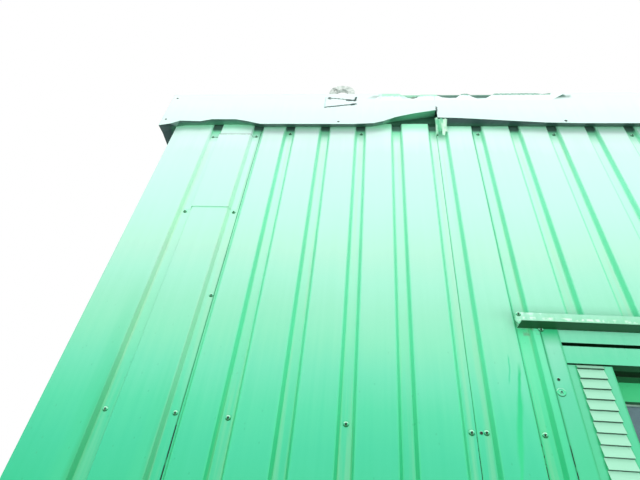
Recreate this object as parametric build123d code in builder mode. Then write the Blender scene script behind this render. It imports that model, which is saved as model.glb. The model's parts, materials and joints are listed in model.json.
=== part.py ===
# Portable site cabin: steel base frame, insulated wall and roof panels, profiled steel
# cladding with lapped joints, a folded roof-edge flashing, two windows with folding
# louvred steel shutters, and a steel door.
#
# Millimetres, +Z up, origin at the centre of the footprint on the ground. The front wall
# faces -Y. Each wall has its own frame: u runs left to right as seen from outside, v runs
# inwards from the outermost face of the cladding, and heights are measured from the ground.

import os
from math import atan2, degrees

from build123d import *

os.makedirs("parts", exist_ok=True)

# ---------------------------------------------------------------- driving dimensions

cabin_length = 6000            # front wall, corner to corner over the cladding
cabin_width = 2400             # end wall, corner to corner over the cladding
cabin_height = 2800            # ground to the top of the roof-edge flashing

sheet = 1.0                    # thickness of every folded steel sheet
groove_depth = 9.0             # depth of the cladding profile
groove_pitch = 100.0
groove_width = 30.0            # at the crests
flank_run = 5.0                # width of one sloping flank
lap = 20.0                     # how far a sheet runs under its neighbour

wall_thickness = 90.0          # outermost cladding face to the inner lining
rail_height = 160.0            # base frame channels
rail_flange = 60.0
rail_plate = 8.0
joist_width = 50.0
joist_count = 9
deck_thickness = 22.0
cladding_drop = 40.0           # the cladding laps this far down over the base frame

parapet = 100.0                # from the top of the walls up to the top of the flashing
rim_drop = 5.0                 # the roof rim starts this far under the top of the walls
rim_head = 40.0                # height of the rim's thicker top, which carries the flashing
rim_head_proud = 10.0          # and how far it stands out from the cladding
roof_panel_edge = 40.0         # roof panel thickness at its low side
roof_fall = 30.0               # rise from the back edge to the front edge
roof_rib_pitch = 200.0
roof_rib_height = 20.0
roof_rib_top = 40.0
roof_rib_base = 70.0
roof_gap = 2.0                 # roof sheet to the rim, each side

fascia_height = 150.0
fascia_proud = 32.0            # from the outermost cladding face to the flashing's face
fascia_cover = 45.0            # width of the top return, from the flashing's face
fascia_tuck = 32.0             # its foot is folded back to the cladding and this far up
fascia_gap = 0.3               # between two lengths
fascia_joints = (747.0, 3365.0)
crease_drop = 26.0             # crease in the bent face, under its top edge
crease_depth = 6.0
return_hinge = 5.0             # the top return stays flat from this far behind the face
cut_width = 2.5                # torn and snipped cuts in the face

corner_return = 60.0           # corner sheet, round the corner
corner_groove = 123.5          # corner to the first groove of the corner sheet
corner_step = 122.0            # to its second groove, in which it laps the next sheet
corner_groove_width = 33.0
corner_overrun = 7.0           # the corner sheet ends this far past the middle of that groove
second_step = 92.5             # to the first groove of the second sheet
second_sheet_grooves = 4
lap_step = 112.0               # from its last groove to the wide groove of the next lap
lap_groove_width = 51.0
infill_overlap = 2.5           # the infill sheet starts this far before the middle of that groove
infill_clearance = 0.8         # and stops this far short of the next one
bay_step = 106.5               # wide groove to the first groove of the window bay
window_step = 58.0             # that groove to the clear opening of the window
back_sheet_grooves = 18        # outer sheets of the back wall
end_first_groove = 110.0       # end walls

patch_start_inset = 7.5        # repair patch: starts this far before the first corner groove
patch_end_overrun = 4.5        # and ends this far past the second
patch_drop = 11.0              # below the flashing
patch_height = 300.0
patch_bow = 2.5                # its crest stands this far off the sheet under it

window_width = 888.0
window_bottom = 1019.0
window_top = 2030.0
frame_bar = 36.0
frame_front = 12.0             # depth of the frame in front of the glass
frame_lip = 12.0               # width of the rebate that holds the glass
mullion_width = 44.0
glass_thickness = 4.0
glass_clearance = 1.0
cladding_cut = 4.0             # cladding stops this far outside an opening

trim_face = 30.0               # flat flange of the jamb trims on the cladding
sill_proud = 28.0
sill_slope = 7.0
sill_drop = 25.0
head_proud = 30.0              # drip flashing over windows and door
head_slope = 3.0
head_lip = 17.0
head_upstand = 30.0
head_overhang = 70.5           # past the opening at each end
head_tab = 12.0                # the face runs on past the tray at each end
head_tab_hang = 9.0            # and hangs this far below it, with a cut corner
head_tab_corner = 9.0          # from the tray to that corner

track_height = 66.0            # housing of the shutter track
track_slot = 20.0              # open slot in the underside of the housing
track_vent = 7.0               # height of the slot along its face
track_vent_rise = 34.0         # from the foot of the housing to that slot
track_vent_margin = 1.5        # left closed at each end
track_clearance = 0.3
leaf_width = 76.5
leaf_thickness = 8.7
leaf_gap = 0.3                 # between folded leaves
leaf_count = 6
leaf_back_gap = 3.0            # last leaf to the window frame
leaf_setback = 5.0             # front leaf behind the outermost cladding face
leaf_side_gap = 0.3
leaf_foot_gap = 0.3            # leaves stand on the sill
leaf_head_gap = 1.2
leaf_margin = 15.0             # plain strip under the lowest louvre, at least
louvre_width = 44.5
louvre_pitch = 18.5
louvre_first = 7.6             # top of the leaf to the foot of the topmost, shortened louvre
louvre_rise = 5.6              # how far a louvre stands out at its foot
louvre_edge = 0.4              # and at its top

door_width = 880.0
door_top = 2144.0
door_jamb = 45.0
door_frame_depth = 70.0
door_flange = 20.0             # frame flange over the cladding
door_flange_thickness = 2.0
door_leaf_thickness = 40.0
door_stop = 12.0
door_gap = 4.0
door_panel_margin = 110.0
door_panel_gap = 120.0
door_panel_depth = 4.0
threshold_height = 14.0

handle_height = 1050.0         # above the floor
handle_inset = 60.0            # from the edge of the leaf
handle_plate_width = 40.0
handle_plate_height = 220.0
handle_plate_thickness = 3.0
lever_diameter = 14.0
lever_length = 115.0
lever_reach = 20.0             # plate to the centre of the lever
hinge_diameter = 18.0
hinge_length = 90.0
hinge_flap = 30.0
hinge_flap_thickness = 2.0
hinge_heights = (250.0, 1060.0, 1790.0)   # above the floor

eye_offset = 476.0             # lifting eye, from the corner of the cladding
eye_plate = 12.0               # thickness of the plate it is cut from
eye_outer = 39.0               # outer radius of its round top
eye_inner = 19.0               # radius of its opening
eye_height = 94.0              # top of the eye above the roof-edge flashing
eye_clearance = 2.0            # in the notch of the flashing

# ---------------------------------------------------------------- derived places

wall_top = cabin_height - parapet
core_face = groove_depth + 2 * sheet          # outer face of walls, rails and roof panel
floor_level = rail_height - rail_plate + deck_thickness
cladding_bottom = rail_height - cladding_drop
rim_bottom = wall_top - rim_drop
rim_top = cabin_height - sheet
fascia_bottom = cabin_height - fascia_height
corner_lap_groove = corner_groove + corner_step
first_groove = corner_lap_groove + second_step
lap_groove = first_groove + (second_sheet_grooves - 1) * groove_pitch + lap_step
bay_first_groove = lap_groove + bay_step
infill_end = bay_first_groove - groove_width / 2 - infill_clearance
window_left = bay_first_groove + window_step
window_right = window_left + window_width
leaf_pitch = leaf_thickness + leaf_gap
reveal_depth = leaf_setback + leaf_count * leaf_pitch + leaf_back_gap
head_underside = window_top + sheet
door_left = (cabin_length - door_width) / 2
door_right = door_left + door_width

wall_length = {"front": cabin_length, "right": cabin_width, "back": cabin_length, "left": cabin_width}
wall_corner = {
    "front": (-cabin_length / 2, -cabin_width / 2),
    "right": (cabin_length / 2, -cabin_width / 2),
    "back": (cabin_length / 2, cabin_width / 2),
    "left": (-cabin_length / 2, cabin_width / 2),
}
wall_run = {"front": (1, 0, 0), "right": (0, 1, 0), "back": (-1, 0, 0), "left": (0, -1, 0)}
wall_outward = {"front": (0, -1, 0), "right": (1, 0, 0), "back": (0, 1, 0), "left": (-1, 0, 0)}


def plan(wall, height):
    """Horizontal plane of one wall: x is u, y is v, at this height."""
    x, y = wall_corner[wall]
    return Plane(origin=(x, y, height), x_dir=wall_run[wall], z_dir=(0, 0, 1))


def elevation(wall, inward=0.0):
    """Upright plane of one wall: x is u, y is height, facing outwards, this far inside."""
    x, y = wall_corner[wall]
    face = Plane(origin=(x, y, 0), x_dir=wall_run[wall], z_dir=wall_outward[wall])
    return face.offset(-inward)


def section(wall, along):
    """Upright plane across one wall at u = along: x is v, y is height, facing along u."""
    origin = plan(wall, 0).origin + Vector(*wall_run[wall]) * along
    inwards = tuple(-c for c in wall_outward[wall])
    return Plane(origin=origin, x_dir=inwards, z_dir=wall_run[wall])


def save(part, name):
    part.label = name
    export_step(part, f"parts/{name}.step")


def save_with_mirror(part, left_name, right_name):
    """Writes a piece and its twin, mirrored about the middle of the cabin."""
    save(part, left_name)
    save(mirror(part, about=Plane.YZ), right_name)


# ---------------------------------------------------------------- base frame

def mitre_zone(wall, outer, depth):
    """Corners in plan of the strip that one wall's mitred length may fill."""
    length = wall_length[wall]
    return [
        (outer, outer),
        (length - outer, outer),
        (length - outer - depth, outer + depth),
        (outer + depth, outer + depth),
    ]


def channel_points(outer):
    """Channel section with its web outside and its flanges pointing inwards."""
    return [
        (outer, 0),
        (outer + rail_flange, 0),
        (outer + rail_flange, rail_plate),
        (outer + rail_plate, rail_plate),
        (outer + rail_plate, rail_height - rail_plate),
        (outer + rail_flange, rail_height - rail_plate),
        (outer + rail_flange, rail_height),
        (outer, rail_height),
    ]


for wall in ("front", "back", "left", "right"):
    with BuildPart() as base_rail:
        with BuildSketch(section(wall, 0)):
            with BuildLine():
                Polyline(*channel_points(core_face), close=True)
            make_face()
        extrude(amount=wall_length[wall])
        with BuildSketch(plan(wall, 0)):
            with BuildLine():
                Polyline(*mitre_zone(wall, core_face, rail_flange), close=True)
            make_face()
        extrude(amount=rail_height, mode=Mode.INTERSECT)
    save(base_rail.part, f"base_rail_{wall}")

joist_span = cabin_width - 2 * (core_face + rail_plate)
joist_depth = rail_height - 2 * rail_plate
joist_spacing = (cabin_length - 2 * (core_face + rail_flange) - joist_width) / (joist_count + 1)

with BuildPart() as floor_joists:
    with BuildSketch(Plane.XZ.offset(-joist_span / 2)):
        with GridLocations(joist_spacing, 0, joist_count, 1):
            with Locations((0, rail_height / 2)):
                Rectangle(joist_width, joist_depth)
            with Locations((rail_plate / 2, rail_height / 2)):
                Rectangle(joist_width - rail_plate, joist_depth - 2 * rail_plate, mode=Mode.SUBTRACT)
    extrude(amount=joist_span)
save(floor_joists.part, "floor_joists")

with BuildPart() as floor_deck:
    with BuildSketch(Plane.XY.offset(rail_height - rail_plate)):
        Rectangle(cabin_length - 2 * wall_thickness, cabin_width - 2 * wall_thickness)
    extrude(amount=deck_thickness)
save(floor_deck.part, "floor_deck")

# ---------------------------------------------------------------- walls and roof

core_thickness = wall_thickness - core_face
wall_height = wall_top - rail_height

with BuildPart() as front_wall:
    with BuildSketch(plan("front", rail_height)):
        with Locations((cabin_length / 2, core_face + core_thickness / 2)):
            Rectangle(cabin_length - 2 * core_face, core_thickness)
    extrude(amount=wall_height)
    with BuildSketch(elevation("front")):
        with BuildLine():
            Polyline(
                (door_left - door_jamb, rail_height),
                (door_right + door_jamb, rail_height),
                (door_right + door_jamb, door_top + door_jamb),
                (door_left - door_jamb, door_top + door_jamb),
                close=True,
            )
        make_face()
        with Locations(((cabin_length / 2, (window_bottom + window_top) / 2))):
            with GridLocations(cabin_length - 2 * window_left - window_width, 0, 2, 1):
                Rectangle(window_width + 2 * sheet, window_top - window_bottom + 2 * sheet)
    extrude(amount=-wall_thickness, mode=Mode.SUBTRACT)
save(front_wall.part, "front_wall")

with BuildPart() as back_wall:
    with BuildSketch(plan("back", rail_height)):
        with Locations((cabin_length / 2, core_face + core_thickness / 2)):
            Rectangle(cabin_length - 2 * core_face, core_thickness)
    extrude(amount=wall_height)
save(back_wall.part, "back_wall")

for wall in ("left", "right"):
    with BuildPart() as end_wall:
        with BuildSketch(plan(wall, rail_height)):
            with Locations((cabin_width / 2, core_face + core_thickness / 2)):
                Rectangle(cabin_width - 2 * wall_thickness, core_thickness)
        extrude(amount=wall_height)
    save(end_wall.part, f"{wall}_wall")

slope_base = cabin_width - 2 * core_face
roof_low = wall_top + roof_panel_edge
roof_angle = degrees(atan2(roof_fall, slope_base))

with BuildPart() as roof_panel:
    with BuildSketch(section("front", core_face)):
        with BuildLine():
            Polyline(
                (core_face, wall_top),
                (cabin_width - core_face, wall_top),
                (cabin_width - core_face, roof_low),
                (core_face, roof_low + roof_fall),
                close=True,
            )
        make_face()
    extrude(amount=cabin_length - 2 * core_face)
save(roof_panel.part, "roof_panel")

roof_span = cabin_length - 2 * (core_face + roof_gap)
roof_rib_count = int((roof_span - roof_rib_base) / roof_rib_pitch)
roof_edge = Plane(
    origin=(0, cabin_width / 2 - core_face, roof_low),
    x_dir=(1, 0, 0),
    z_dir=Vector(0, -1, 0).rotate(Axis.X, -roof_angle),
)


def roof_points():
    """Underside of the roof sheet, with its ribs standing up."""
    points = [(-roof_span / 2, 0)]
    for i in range(roof_rib_count):
        middle = (i - (roof_rib_count - 1) / 2) * roof_rib_pitch
        points += [
            (middle - roof_rib_base / 2, 0),
            (middle - roof_rib_top / 2, roof_rib_height),
            (middle + roof_rib_top / 2, roof_rib_height),
            (middle + roof_rib_base / 2, 0),
        ]
    return points + [(roof_span / 2, 0)]


with BuildPart() as roof_sheet:
    with BuildSketch(roof_edge.offset(roof_gap)):
        with BuildLine():
            Polyline(*roof_points())
            offset(amount=sheet, side=Side.LEFT, kind=Kind.INTERSECTION)
        make_face()
    extrude(amount=slope_base - 2 * roof_gap)
save(roof_sheet.part, "roof_sheet")

with BuildPart() as roof_rim:
    with BuildSketch(Plane.XY.offset(rim_bottom)):
        Rectangle(cabin_length, cabin_width)
        Rectangle(cabin_length - 2 * core_face, cabin_width - 2 * core_face, mode=Mode.SUBTRACT)
    extrude(amount=rim_top - rim_bottom)
    with BuildSketch(Plane.XY.offset(rim_top - rim_head)):
        Rectangle(cabin_length + 2 * rim_head_proud, cabin_width + 2 * rim_head_proud)
        Rectangle(cabin_length - 2 * core_face, cabin_width - 2 * core_face, mode=Mode.SUBTRACT)
    extrude(amount=rim_head)
save(roof_rim.part, "roof_rim")

# ---------------------------------------------------------------- roof-edge flashing

fascia_reach = fascia_cover - fascia_proud
eye_notch = 2 * (eye_outer + eye_clearance)
first_joint, second_joint = fascia_joints

# the first two lengths of the front are bent, and the left one at the corner: places along
# the wall, how far the foot of the face is lifted there, and how far the inner edge of its
# tucked foot
bends = [
    (-fascia_proud, -12, -12), (0, -4, -4), (24, 11, 3), (85, 8, 4), (116, 18, 6), (186, 18, 7),
    (222, 8, 5), (260, -5, -6), (316, -5, -4), (520, -5, -4), (573, -1, -1), (600, 9, 8),
    (630, 27, 23), (655, 37, 28), (687, 48, 35), (first_joint, 64, 50),
]
bends_past_joint = [
    (first_joint, 27, 0), (806, 24, 0), (851, 20, 0), (940, 11, 0), (1026, 3, 0), (1110, 0, 0),
]
bends_at_corner = [
    (cabin_width - 80, 0, 0), (cabin_width, -4, -4), (cabin_width + fascia_proud, -12, -12),
]
# places along the wall and how far the top edge is pressed down there
dips = [
    (645, 0), (671, 16), (686, 21), (697, 16), (708, 4), (748, 4), (769, 15), (790, 18), (808, 17),
    (824, 2), (838, 0), (852, 12), (866, 20), (891, 19), (906, 8), (918, 0), (1030, 0), (1048, 4),
    (1068, 0),
]
crease = [(540, 0), (600, 1), (1070, 1), (1130, 0)]    # share of its depth
smooth = [(0, 0)]
# cuts under the first eye and at the joint: their ends, along the wall and below the top edge
face_cuts = [
    ((eye_offset - 42, 71), (eye_offset + 45, 55)),
    ((eye_offset - 32, 21), (eye_offset + 43, 35)),
    ((eye_offset + 43, 35), (eye_offset + 46, 19)),
    ((first_joint, 69), (first_joint - 1, 95)),
]


def along(keys, place, column=1):
    """Value between the keys at this place, on a straight line, and level past their ends."""
    if place <= keys[0][0]:
        return keys[0][column]
    for left, right in zip(keys, keys[1:]):
        if place <= right[0]:
            share = (place - left[0]) / (right[0] - left[0])
            return left[column] + (right[column] - left[column]) * share
    return keys[-1][column]


def bent_profile(bent, place):
    """Outer line (v, height) of the flashing at one place, from its tucked foot to its return."""
    feet, dips, crease = bent
    foot = fascia_bottom + along(feet, place)
    tuck = fascia_bottom + fascia_tuck + along(feet, place, 2)
    push = crease_depth * along(crease, place)
    dip = along(dips, place)
    return [
        (0, tuck),
        (-fascia_proud, foot),
        (push - fascia_proud, cabin_height - crease_drop),
        (push * dip / crease_drop - fascia_proud, cabin_height - dip),
        (return_hinge - fascia_proud, cabin_height),
        (fascia_reach, cabin_height),
    ]


def folded(line):
    """Closed outline of a sheet with this outer line, its thickness on the right."""
    points = [Vector(*point) for point in line]
    runs = [(b - a).normalized() for a, b in zip(points, points[1:])]
    normals = [Vector(run.Y, -run.X) for run in runs]
    inner = [
        point + (one + other) * (sheet / (1 + one.dot(other)))
        for point, one, other in zip(points, normals[:1] + normals, normals + normals[-1:])
    ]
    return points + inner[::-1]


def creased(outlines):
    """Solid through these sheet outlines, with a crease across each field between two of them."""
    faces = [Face(Wire.make_polygon(outline)) for outline in (outlines[0], outlines[-1])]
    for one, two in zip(outlines, outlines[1:]):
        fields = list(zip(one, one[1:] + one[:1], two, two[1:] + two[:1]))
        for i, (a, b, c, d) in enumerate(fields):
            outside = i < len(fields) / 2      # the inside goes back the other way, along the same crease
            halves = ([a, b, d], [a, d, c]) if outside else ([a, b, c], [b, d, c])
            faces += [Face(Wire.make_polygon(half)) for half in halves]
    return Solid(Shell(faces))


def fascia_length(wall, name, start, end, bent=None, cuts=()):
    """One length of the folded flashing, mitred where it meets the next wall's."""
    with BuildPart() as fascia:
        if bent:
            places = {key[0] for keys in bent for key in keys if start < key[0] < end}
            outlines = []
            for place in sorted(places | {start, end}):
                at = section(wall, place)
                outlines.append([at.from_local_coords(point) for point in folded(bent_profile(bent, place))])
            add(creased(outlines))
        else:
            with BuildSketch(section(wall, start)):
                with BuildLine():
                    Polyline(
                        (0, fascia_bottom + fascia_tuck),
                        (-fascia_proud, fascia_bottom),
                        (-fascia_proud, cabin_height),
                        (fascia_reach, cabin_height),
                    )
                    offset(amount=sheet, side=Side.RIGHT, kind=Kind.INTERSECTION)
                make_face()
            extrude(amount=end - start)
        with BuildSketch(plan(wall, 0)):
            with BuildLine():
                Polyline(*mitre_zone(wall, -fascia_proud, fascia_cover), close=True)
            make_face()
        extrude(amount=cabin_height, mode=Mode.INTERSECT)
        if wall in ("front", "back"):
            with BuildSketch(plan(wall, rim_top)):
                with Locations((cabin_length / 2, fascia_reach)):
                    with GridLocations(cabin_length - 2 * eye_offset, 0, 2, 1):
                        Rectangle(eye_notch, 2 * fascia_reach + eye_plate + 2 * eye_clearance)
            extrude(amount=sheet, mode=Mode.SUBTRACT)
        if cuts:
            with BuildSketch(elevation(wall, -fascia_proud)):
                for ends in cuts:
                    with BuildLine():
                        Line(*[(place, cabin_height - drop) for place, drop in ends])
                    trace(line_width=cut_width)
            extrude(amount=-fascia_proud / 2, mode=Mode.SUBTRACT)
    save(fascia.part, name)


past_joint = first_joint + fascia_gap
fascia_length("front", "fascia_front_1", -fascia_proud, first_joint, (bends, dips, crease), face_cuts)
fascia_length("front", "fascia_front_2", past_joint, second_joint, (bends_past_joint, dips, crease))
fascia_length("front", "fascia_front_3", second_joint + fascia_gap, cabin_length + fascia_proud)
fascia_length("back", "fascia_back", -fascia_proud, cabin_length + fascia_proud)
left_end = cabin_width + fascia_proud
fascia_length("left", "fascia_left", -fascia_proud, left_end, (bends_at_corner, smooth, smooth))
fascia_length("right", "fascia_right", -fascia_proud, cabin_width + fascia_proud)

eye_shoulder = cabin_height + eye_height - eye_outer

with BuildPart() as lifting_eyes:
    for wall in ("front", "back"):
        with BuildSketch(elevation(wall, -eye_plate / 2)):
            for place in (eye_offset, cabin_length - eye_offset):
                for radius, mode in ((eye_outer, Mode.ADD), (eye_inner, Mode.SUBTRACT)):
                    with BuildLine():
                        shoulder = Line((place - radius, rim_top), (place - radius, eye_shoulder))
                        crown = RadiusArc(shoulder @ 1, (place + radius, eye_shoulder), radius)
                        Polyline(crown @ 1, (place + radius, rim_top), shoulder @ 0)
                    make_face(mode=mode)
        extrude(amount=-eye_plate)
save(lifting_eyes.part, "lifting_eyes")

# ---------------------------------------------------------------- cladding


def folds(grooves):
    """Fold points (u, depth) of the outer face of a wall's cladding."""
    points = []
    for middle, width in grooves:
        points += [
            (middle - width / 2, 0),
            (middle - width / 2 + flank_run, groove_depth),
            (middle + width / 2 - flank_run, groove_depth),
            (middle + width / 2, 0),
        ]
    return points


def depth_at(points, u):
    """Depth of the profile at u."""
    for (left, left_depth), (right, right_depth) in zip(points, points[1:]):
        if left <= u <= right:
            return left_depth + (right_depth - left_depth) * (u - left) / (right - left)
    return 0.0


def profile(points, start, end, face):
    """Outer line of a sheet from start to end, its crests at v = face."""
    line = [(start, depth_at(points, start))]
    line += [(u, depth) for u, depth in points if start < u < end]
    line += [(end, depth_at(points, end))]
    return [(u, depth + face) for u, depth in line]


def evenly(first, last, pitch):
    """Places from first to last, as near this pitch as fits."""
    steps = max(1, round((last - first) / pitch))
    return [first + (last - first) * i / steps for i in range(steps + 1)]


def make_sheet(wall, line, bottom, top, side=Side.LEFT, opening=None):
    """A folded sheet with this outer line in plan, and an opening (u0, z0, u1, z1) cut in it."""
    with BuildPart() as piece:
        with BuildSketch(plan(wall, bottom)):
            with BuildLine():
                Polyline(*line)
                offset(amount=sheet, side=side, kind=Kind.INTERSECTION)
            make_face()
        extrude(amount=top - bottom)
        if opening:
            left, low, right, high = opening
            with BuildSketch(elevation(wall)):
                with Locations(((left + right) / 2, (low + high) / 2)):
                    Rectangle(right - left, high - low)
            extrude(amount=-wall_thickness, mode=Mode.SUBTRACT)
    return piece.part


def after(grooves, count):
    """Middle of the crest after this many grooves of a list."""
    return (grooves[count - 1] + grooves[count]) / 2


def crest_past(grooves, place):
    """Middle of the first crest of a list of grooves that lies past this place."""
    return next((a + b) / 2 for a, b in zip(grooves, grooves[1:]) if (a + b) / 2 > place)


corner_pair = [(corner_groove, corner_groove_width), (corner_lap_groove, corner_groove_width)]

front_left_grooves = list(corner_pair)
front_left_grooves += [(first_groove + groove_pitch * i, groove_width) for i in range(second_sheet_grooves)]
front_left_grooves += [(lap_groove, lap_groove_width)]
bay_grooves = evenly(bay_first_groove, (cabin_length - groove_pitch) / 2, groove_pitch)
front_left_grooves += [(u, groove_width) for u in bay_grooves]
front_right_grooves = [(cabin_length - u, width) for u, width in reversed(front_left_grooves)]
front_folds = folds(front_left_grooves + front_right_grooves)

back_middle_grooves = evenly(first_groove, cabin_length - first_groove, groove_pitch)
back_folds = folds(
    corner_pair
    + [(u, groove_width) for u in back_middle_grooves]
    + [(cabin_length - u, width) for u, width in reversed(corner_pair)]
)

end_folds = folds(
    [(u, groove_width) for u in evenly(end_first_groove, cabin_width - end_first_groove, groove_pitch)]
)

over, under = 0.0, sheet       # v of the crests of a lapping sheet and of a lapped one

for wall, points in (("front", front_folds), ("back", back_folds)):
    corner_end = corner_lap_groove + corner_overrun
    corner_line = [(0, corner_return)] + profile(points, 0, corner_end, over)
    corner = make_sheet(wall, corner_line, cladding_bottom, rim_bottom)
    if wall == "front":
        save_with_mirror(corner, "cladding_corner_front_left", "cladding_corner_front_right")
    else:
        save_with_mirror(corner, "cladding_corner_back_right", "cladding_corner_back_left")

second_start = corner_lap_groove - corner_groove_width / 2 + flank_run + sheet
second_end = lap_groove + lap_groove_width / 2 - flank_run - sheet
second_line = profile(front_folds, second_start, second_end, under)
second = make_sheet("front", second_line, cladding_bottom, rim_bottom)
save_with_mirror(second, "cladding_front_left", "cladding_front_right")

infill_line = profile(front_folds, lap_groove - infill_overlap, infill_end, over)
infill = make_sheet("front", infill_line, cladding_bottom, rim_bottom)
save_with_mirror(infill, "cladding_infill_left", "cladding_infill_right")

bay_end = crest_past(bay_grooves, window_right + head_overhang) + lap / 2
bay_line = profile(front_folds, infill_end - lap, bay_end, under)
window_cut = (
    window_left - cladding_cut,
    window_bottom - cladding_cut,
    window_right + cladding_cut,
    window_top + cladding_cut,
)
bay = make_sheet("front", bay_line, cladding_bottom, rim_bottom, opening=window_cut)
save_with_mirror(bay, "cladding_window_left", "cladding_window_right")

door_line = profile(front_folds, bay_end - lap, cabin_length - bay_end + lap, over)
door_cut = (door_left - door_jamb, 0, door_right + door_jamb, door_top + door_jamb)
door_sheet = make_sheet("front", door_line, cladding_bottom, rim_bottom, opening=door_cut)
save(door_sheet, "cladding_door")

back_joint = after(back_middle_grooves, back_sheet_grooves)
back_starts = (second_start, back_joint - lap / 2, cabin_length - back_joint - lap / 2)
back_ends = (back_joint + lap / 2, cabin_length - back_joint + lap / 2, cabin_length - second_start)
for number, face in enumerate((under, over, under)):
    back_line = profile(back_folds, back_starts[number], back_ends[number], face)
    back_sheet = make_sheet("back", back_line, cladding_bottom, rim_bottom)
    save(back_sheet, f"cladding_back_{number + 1}")

for wall in ("left", "right"):
    end_line = profile(end_folds, corner_return - lap, cabin_width - corner_return + lap, under)
    end_sheet = make_sheet(wall, end_line, cladding_bottom, rim_bottom)
    save(end_sheet, f"cladding_{wall}_end")

patch_top = fascia_bottom - patch_drop
patch_line = profile(
    front_folds, corner_groove - patch_start_inset, corner_lap_groove + patch_end_overrun, over
)
patch_line = [(u, depth if depth else -patch_bow) for u, depth in patch_line]
corner_patch = make_sheet("front", patch_line, patch_top - patch_height, patch_top, side=Side.RIGHT)
save(corner_patch, "corner_patch")

# ---------------------------------------------------------------- flashings and trims


def head_flashing(start, end, underside, face):
    """Drip flashing over an opening: upstand on the cladding, sloping tray, upturned lip."""
    with BuildPart() as flashing:
        with BuildSketch(section("front", start)):
            with BuildLine():
                Polyline(
                    (face, underside + head_upstand),
                    (face, underside),
                    (face - head_proud, underside - head_slope),
                    (face - head_proud, underside - head_slope + head_lip),
                )
                offset(amount=sheet, side=Side.RIGHT, kind=Kind.INTERSECTION)
            make_face()
        extrude(amount=end - start)
        foot = underside - head_slope
        with BuildSketch(elevation("front", face - head_proud)):
            for edge, outwards in ((start, -1), (end, 1)):
                with BuildLine():
                    Polyline(
                        (edge, foot + head_lip),
                        (edge + outwards * head_tab_corner, foot + head_lip - sheet),
                        (edge + outwards * head_tab, foot),
                        (edge + outwards * head_tab / 2, foot - head_tab_hang),
                        (edge, foot - sheet),
                        close=True,
                    )
                make_face()
        extrude(amount=-sheet)
    return flashing.part


save_with_mirror(
    head_flashing(
        window_left - head_overhang, window_right + head_overhang, head_underside, over
    ),
    "head_flashing_left",
    "head_flashing_right",
)

with BuildPart() as jamb_trims:
    for edge, outwards in ((window_left, -1), (window_right, 1)):
        with BuildSketch(plan("front", window_bottom)):
            with BuildLine():
                Polyline((edge + outwards * trim_face, 0), (edge, 0), (edge, reveal_depth))
                offset(
                    amount=sheet,
                    side=Side.LEFT if outwards < 0 else Side.RIGHT,
                    kind=Kind.INTERSECTION,
                )
            make_face()
        extrude(amount=head_underside - window_bottom)
save_with_mirror(jamb_trims.part, "jamb_trims_left", "jamb_trims_right")

with BuildPart() as window_sill:
    with BuildSketch(section("front", window_left - trim_face)):
        with BuildLine():
            Polyline(
                (reveal_depth, window_bottom),
                (0, window_bottom),
                (-sill_proud, window_bottom - sill_slope),
                (-sill_proud, window_bottom - sill_slope - sill_drop),
            )
            offset(amount=sheet, side=Side.LEFT, kind=Kind.INTERSECTION)
        make_face()
    extrude(amount=window_width + 2 * trim_face)
    with BuildSketch(plan("front", window_bottom - 2 * sheet)):
        for edge, outwards in ((window_left - sheet, -1), (window_right + sheet, 1)):
            with Locations((edge, 0)):
                align_u = Align.MAX if outwards < 0 else Align.MIN
                Rectangle(trim_face, wall_thickness, align=(align_u, Align.MIN))
    extrude(amount=4 * sheet, mode=Mode.SUBTRACT)
save_with_mirror(window_sill.part, "window_sill_left", "window_sill_right")

# ---------------------------------------------------------------- windows

with BuildPart() as shutter_track:
    with BuildSketch(section("front", window_left)):
        with BuildLine():
            track_front = sheet
            track_back = reveal_depth - track_clearance
            track_middle = (track_front + track_back) / 2
            track_bottom = window_top - track_height
            track_top = window_top + sheet
            Polyline(
                (track_middle - track_slot / 2, track_bottom),
                (track_front, track_bottom),
                (track_front, track_top),
                (track_back, track_top),
                (track_back, track_bottom),
                (track_middle + track_slot / 2, track_bottom),
            )
            offset(amount=sheet, side=Side.RIGHT, kind=Kind.INTERSECTION)
        make_face()
    extrude(amount=window_width)
    with BuildSketch(elevation("front")):
        with Locations(((window_left + window_right) / 2, track_bottom + track_vent_rise)):
            Rectangle(
                window_width - 2 * track_vent_margin, track_vent, align=(Align.CENTER, Align.MIN)
            )
    extrude(amount=-track_middle, mode=Mode.SUBTRACT)
save_with_mirror(shutter_track.part, "shutter_track_left", "shutter_track_right")

leaf_bottom = window_bottom + leaf_foot_gap
leaf_top = track_bottom - leaf_head_gap
louvre_count = int((leaf_top - louvre_first - leaf_bottom - leaf_margin) / louvre_pitch)


def louvre_points():
    """Section of a strip of pressed louvres, from the top down, each open at its foot."""
    points = [(leaf_setback + sheet / 2, leaf_top), (leaf_setback - louvre_edge, leaf_top)]
    for i in range(louvre_count + 1):
        foot = leaf_top - louvre_first - i * louvre_pitch
        points += [(leaf_setback - louvre_rise, foot), (leaf_setback - louvre_edge, foot)]
    points[-1] = (leaf_setback + sheet / 2, foot)
    return points


with BuildPart() as shutters:
    for edge, inwards in ((window_left + leaf_side_gap, 1), (window_right - leaf_side_gap, -1)):
        for i in range(leaf_count):
            leaf_face = leaf_setback + i * leaf_pitch
            far_edge = edge + inwards * leaf_width
            with BuildSketch(plan("front", leaf_bottom)):
                with BuildLine():
                    Polyline(
                        (edge, leaf_face + leaf_thickness),
                        (edge, leaf_face),
                        (far_edge, leaf_face),
                        (far_edge, leaf_face + leaf_thickness),
                    )
                    offset(
                        amount=sheet,
                        side=Side.LEFT if inwards > 0 else Side.RIGHT,
                        kind=Kind.INTERSECTION,
                    )
                make_face()
            extrude(amount=leaf_top - leaf_bottom)
        louvre_middle = edge + inwards * leaf_width / 2
        with BuildSketch(section("front", louvre_middle - louvre_width / 2)):
            with BuildLine():
                Polyline(*louvre_points(), close=True)
            make_face()
        extrude(amount=louvre_width)
save_with_mirror(shutters.part, "shutters_left", "shutters_right")

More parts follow.
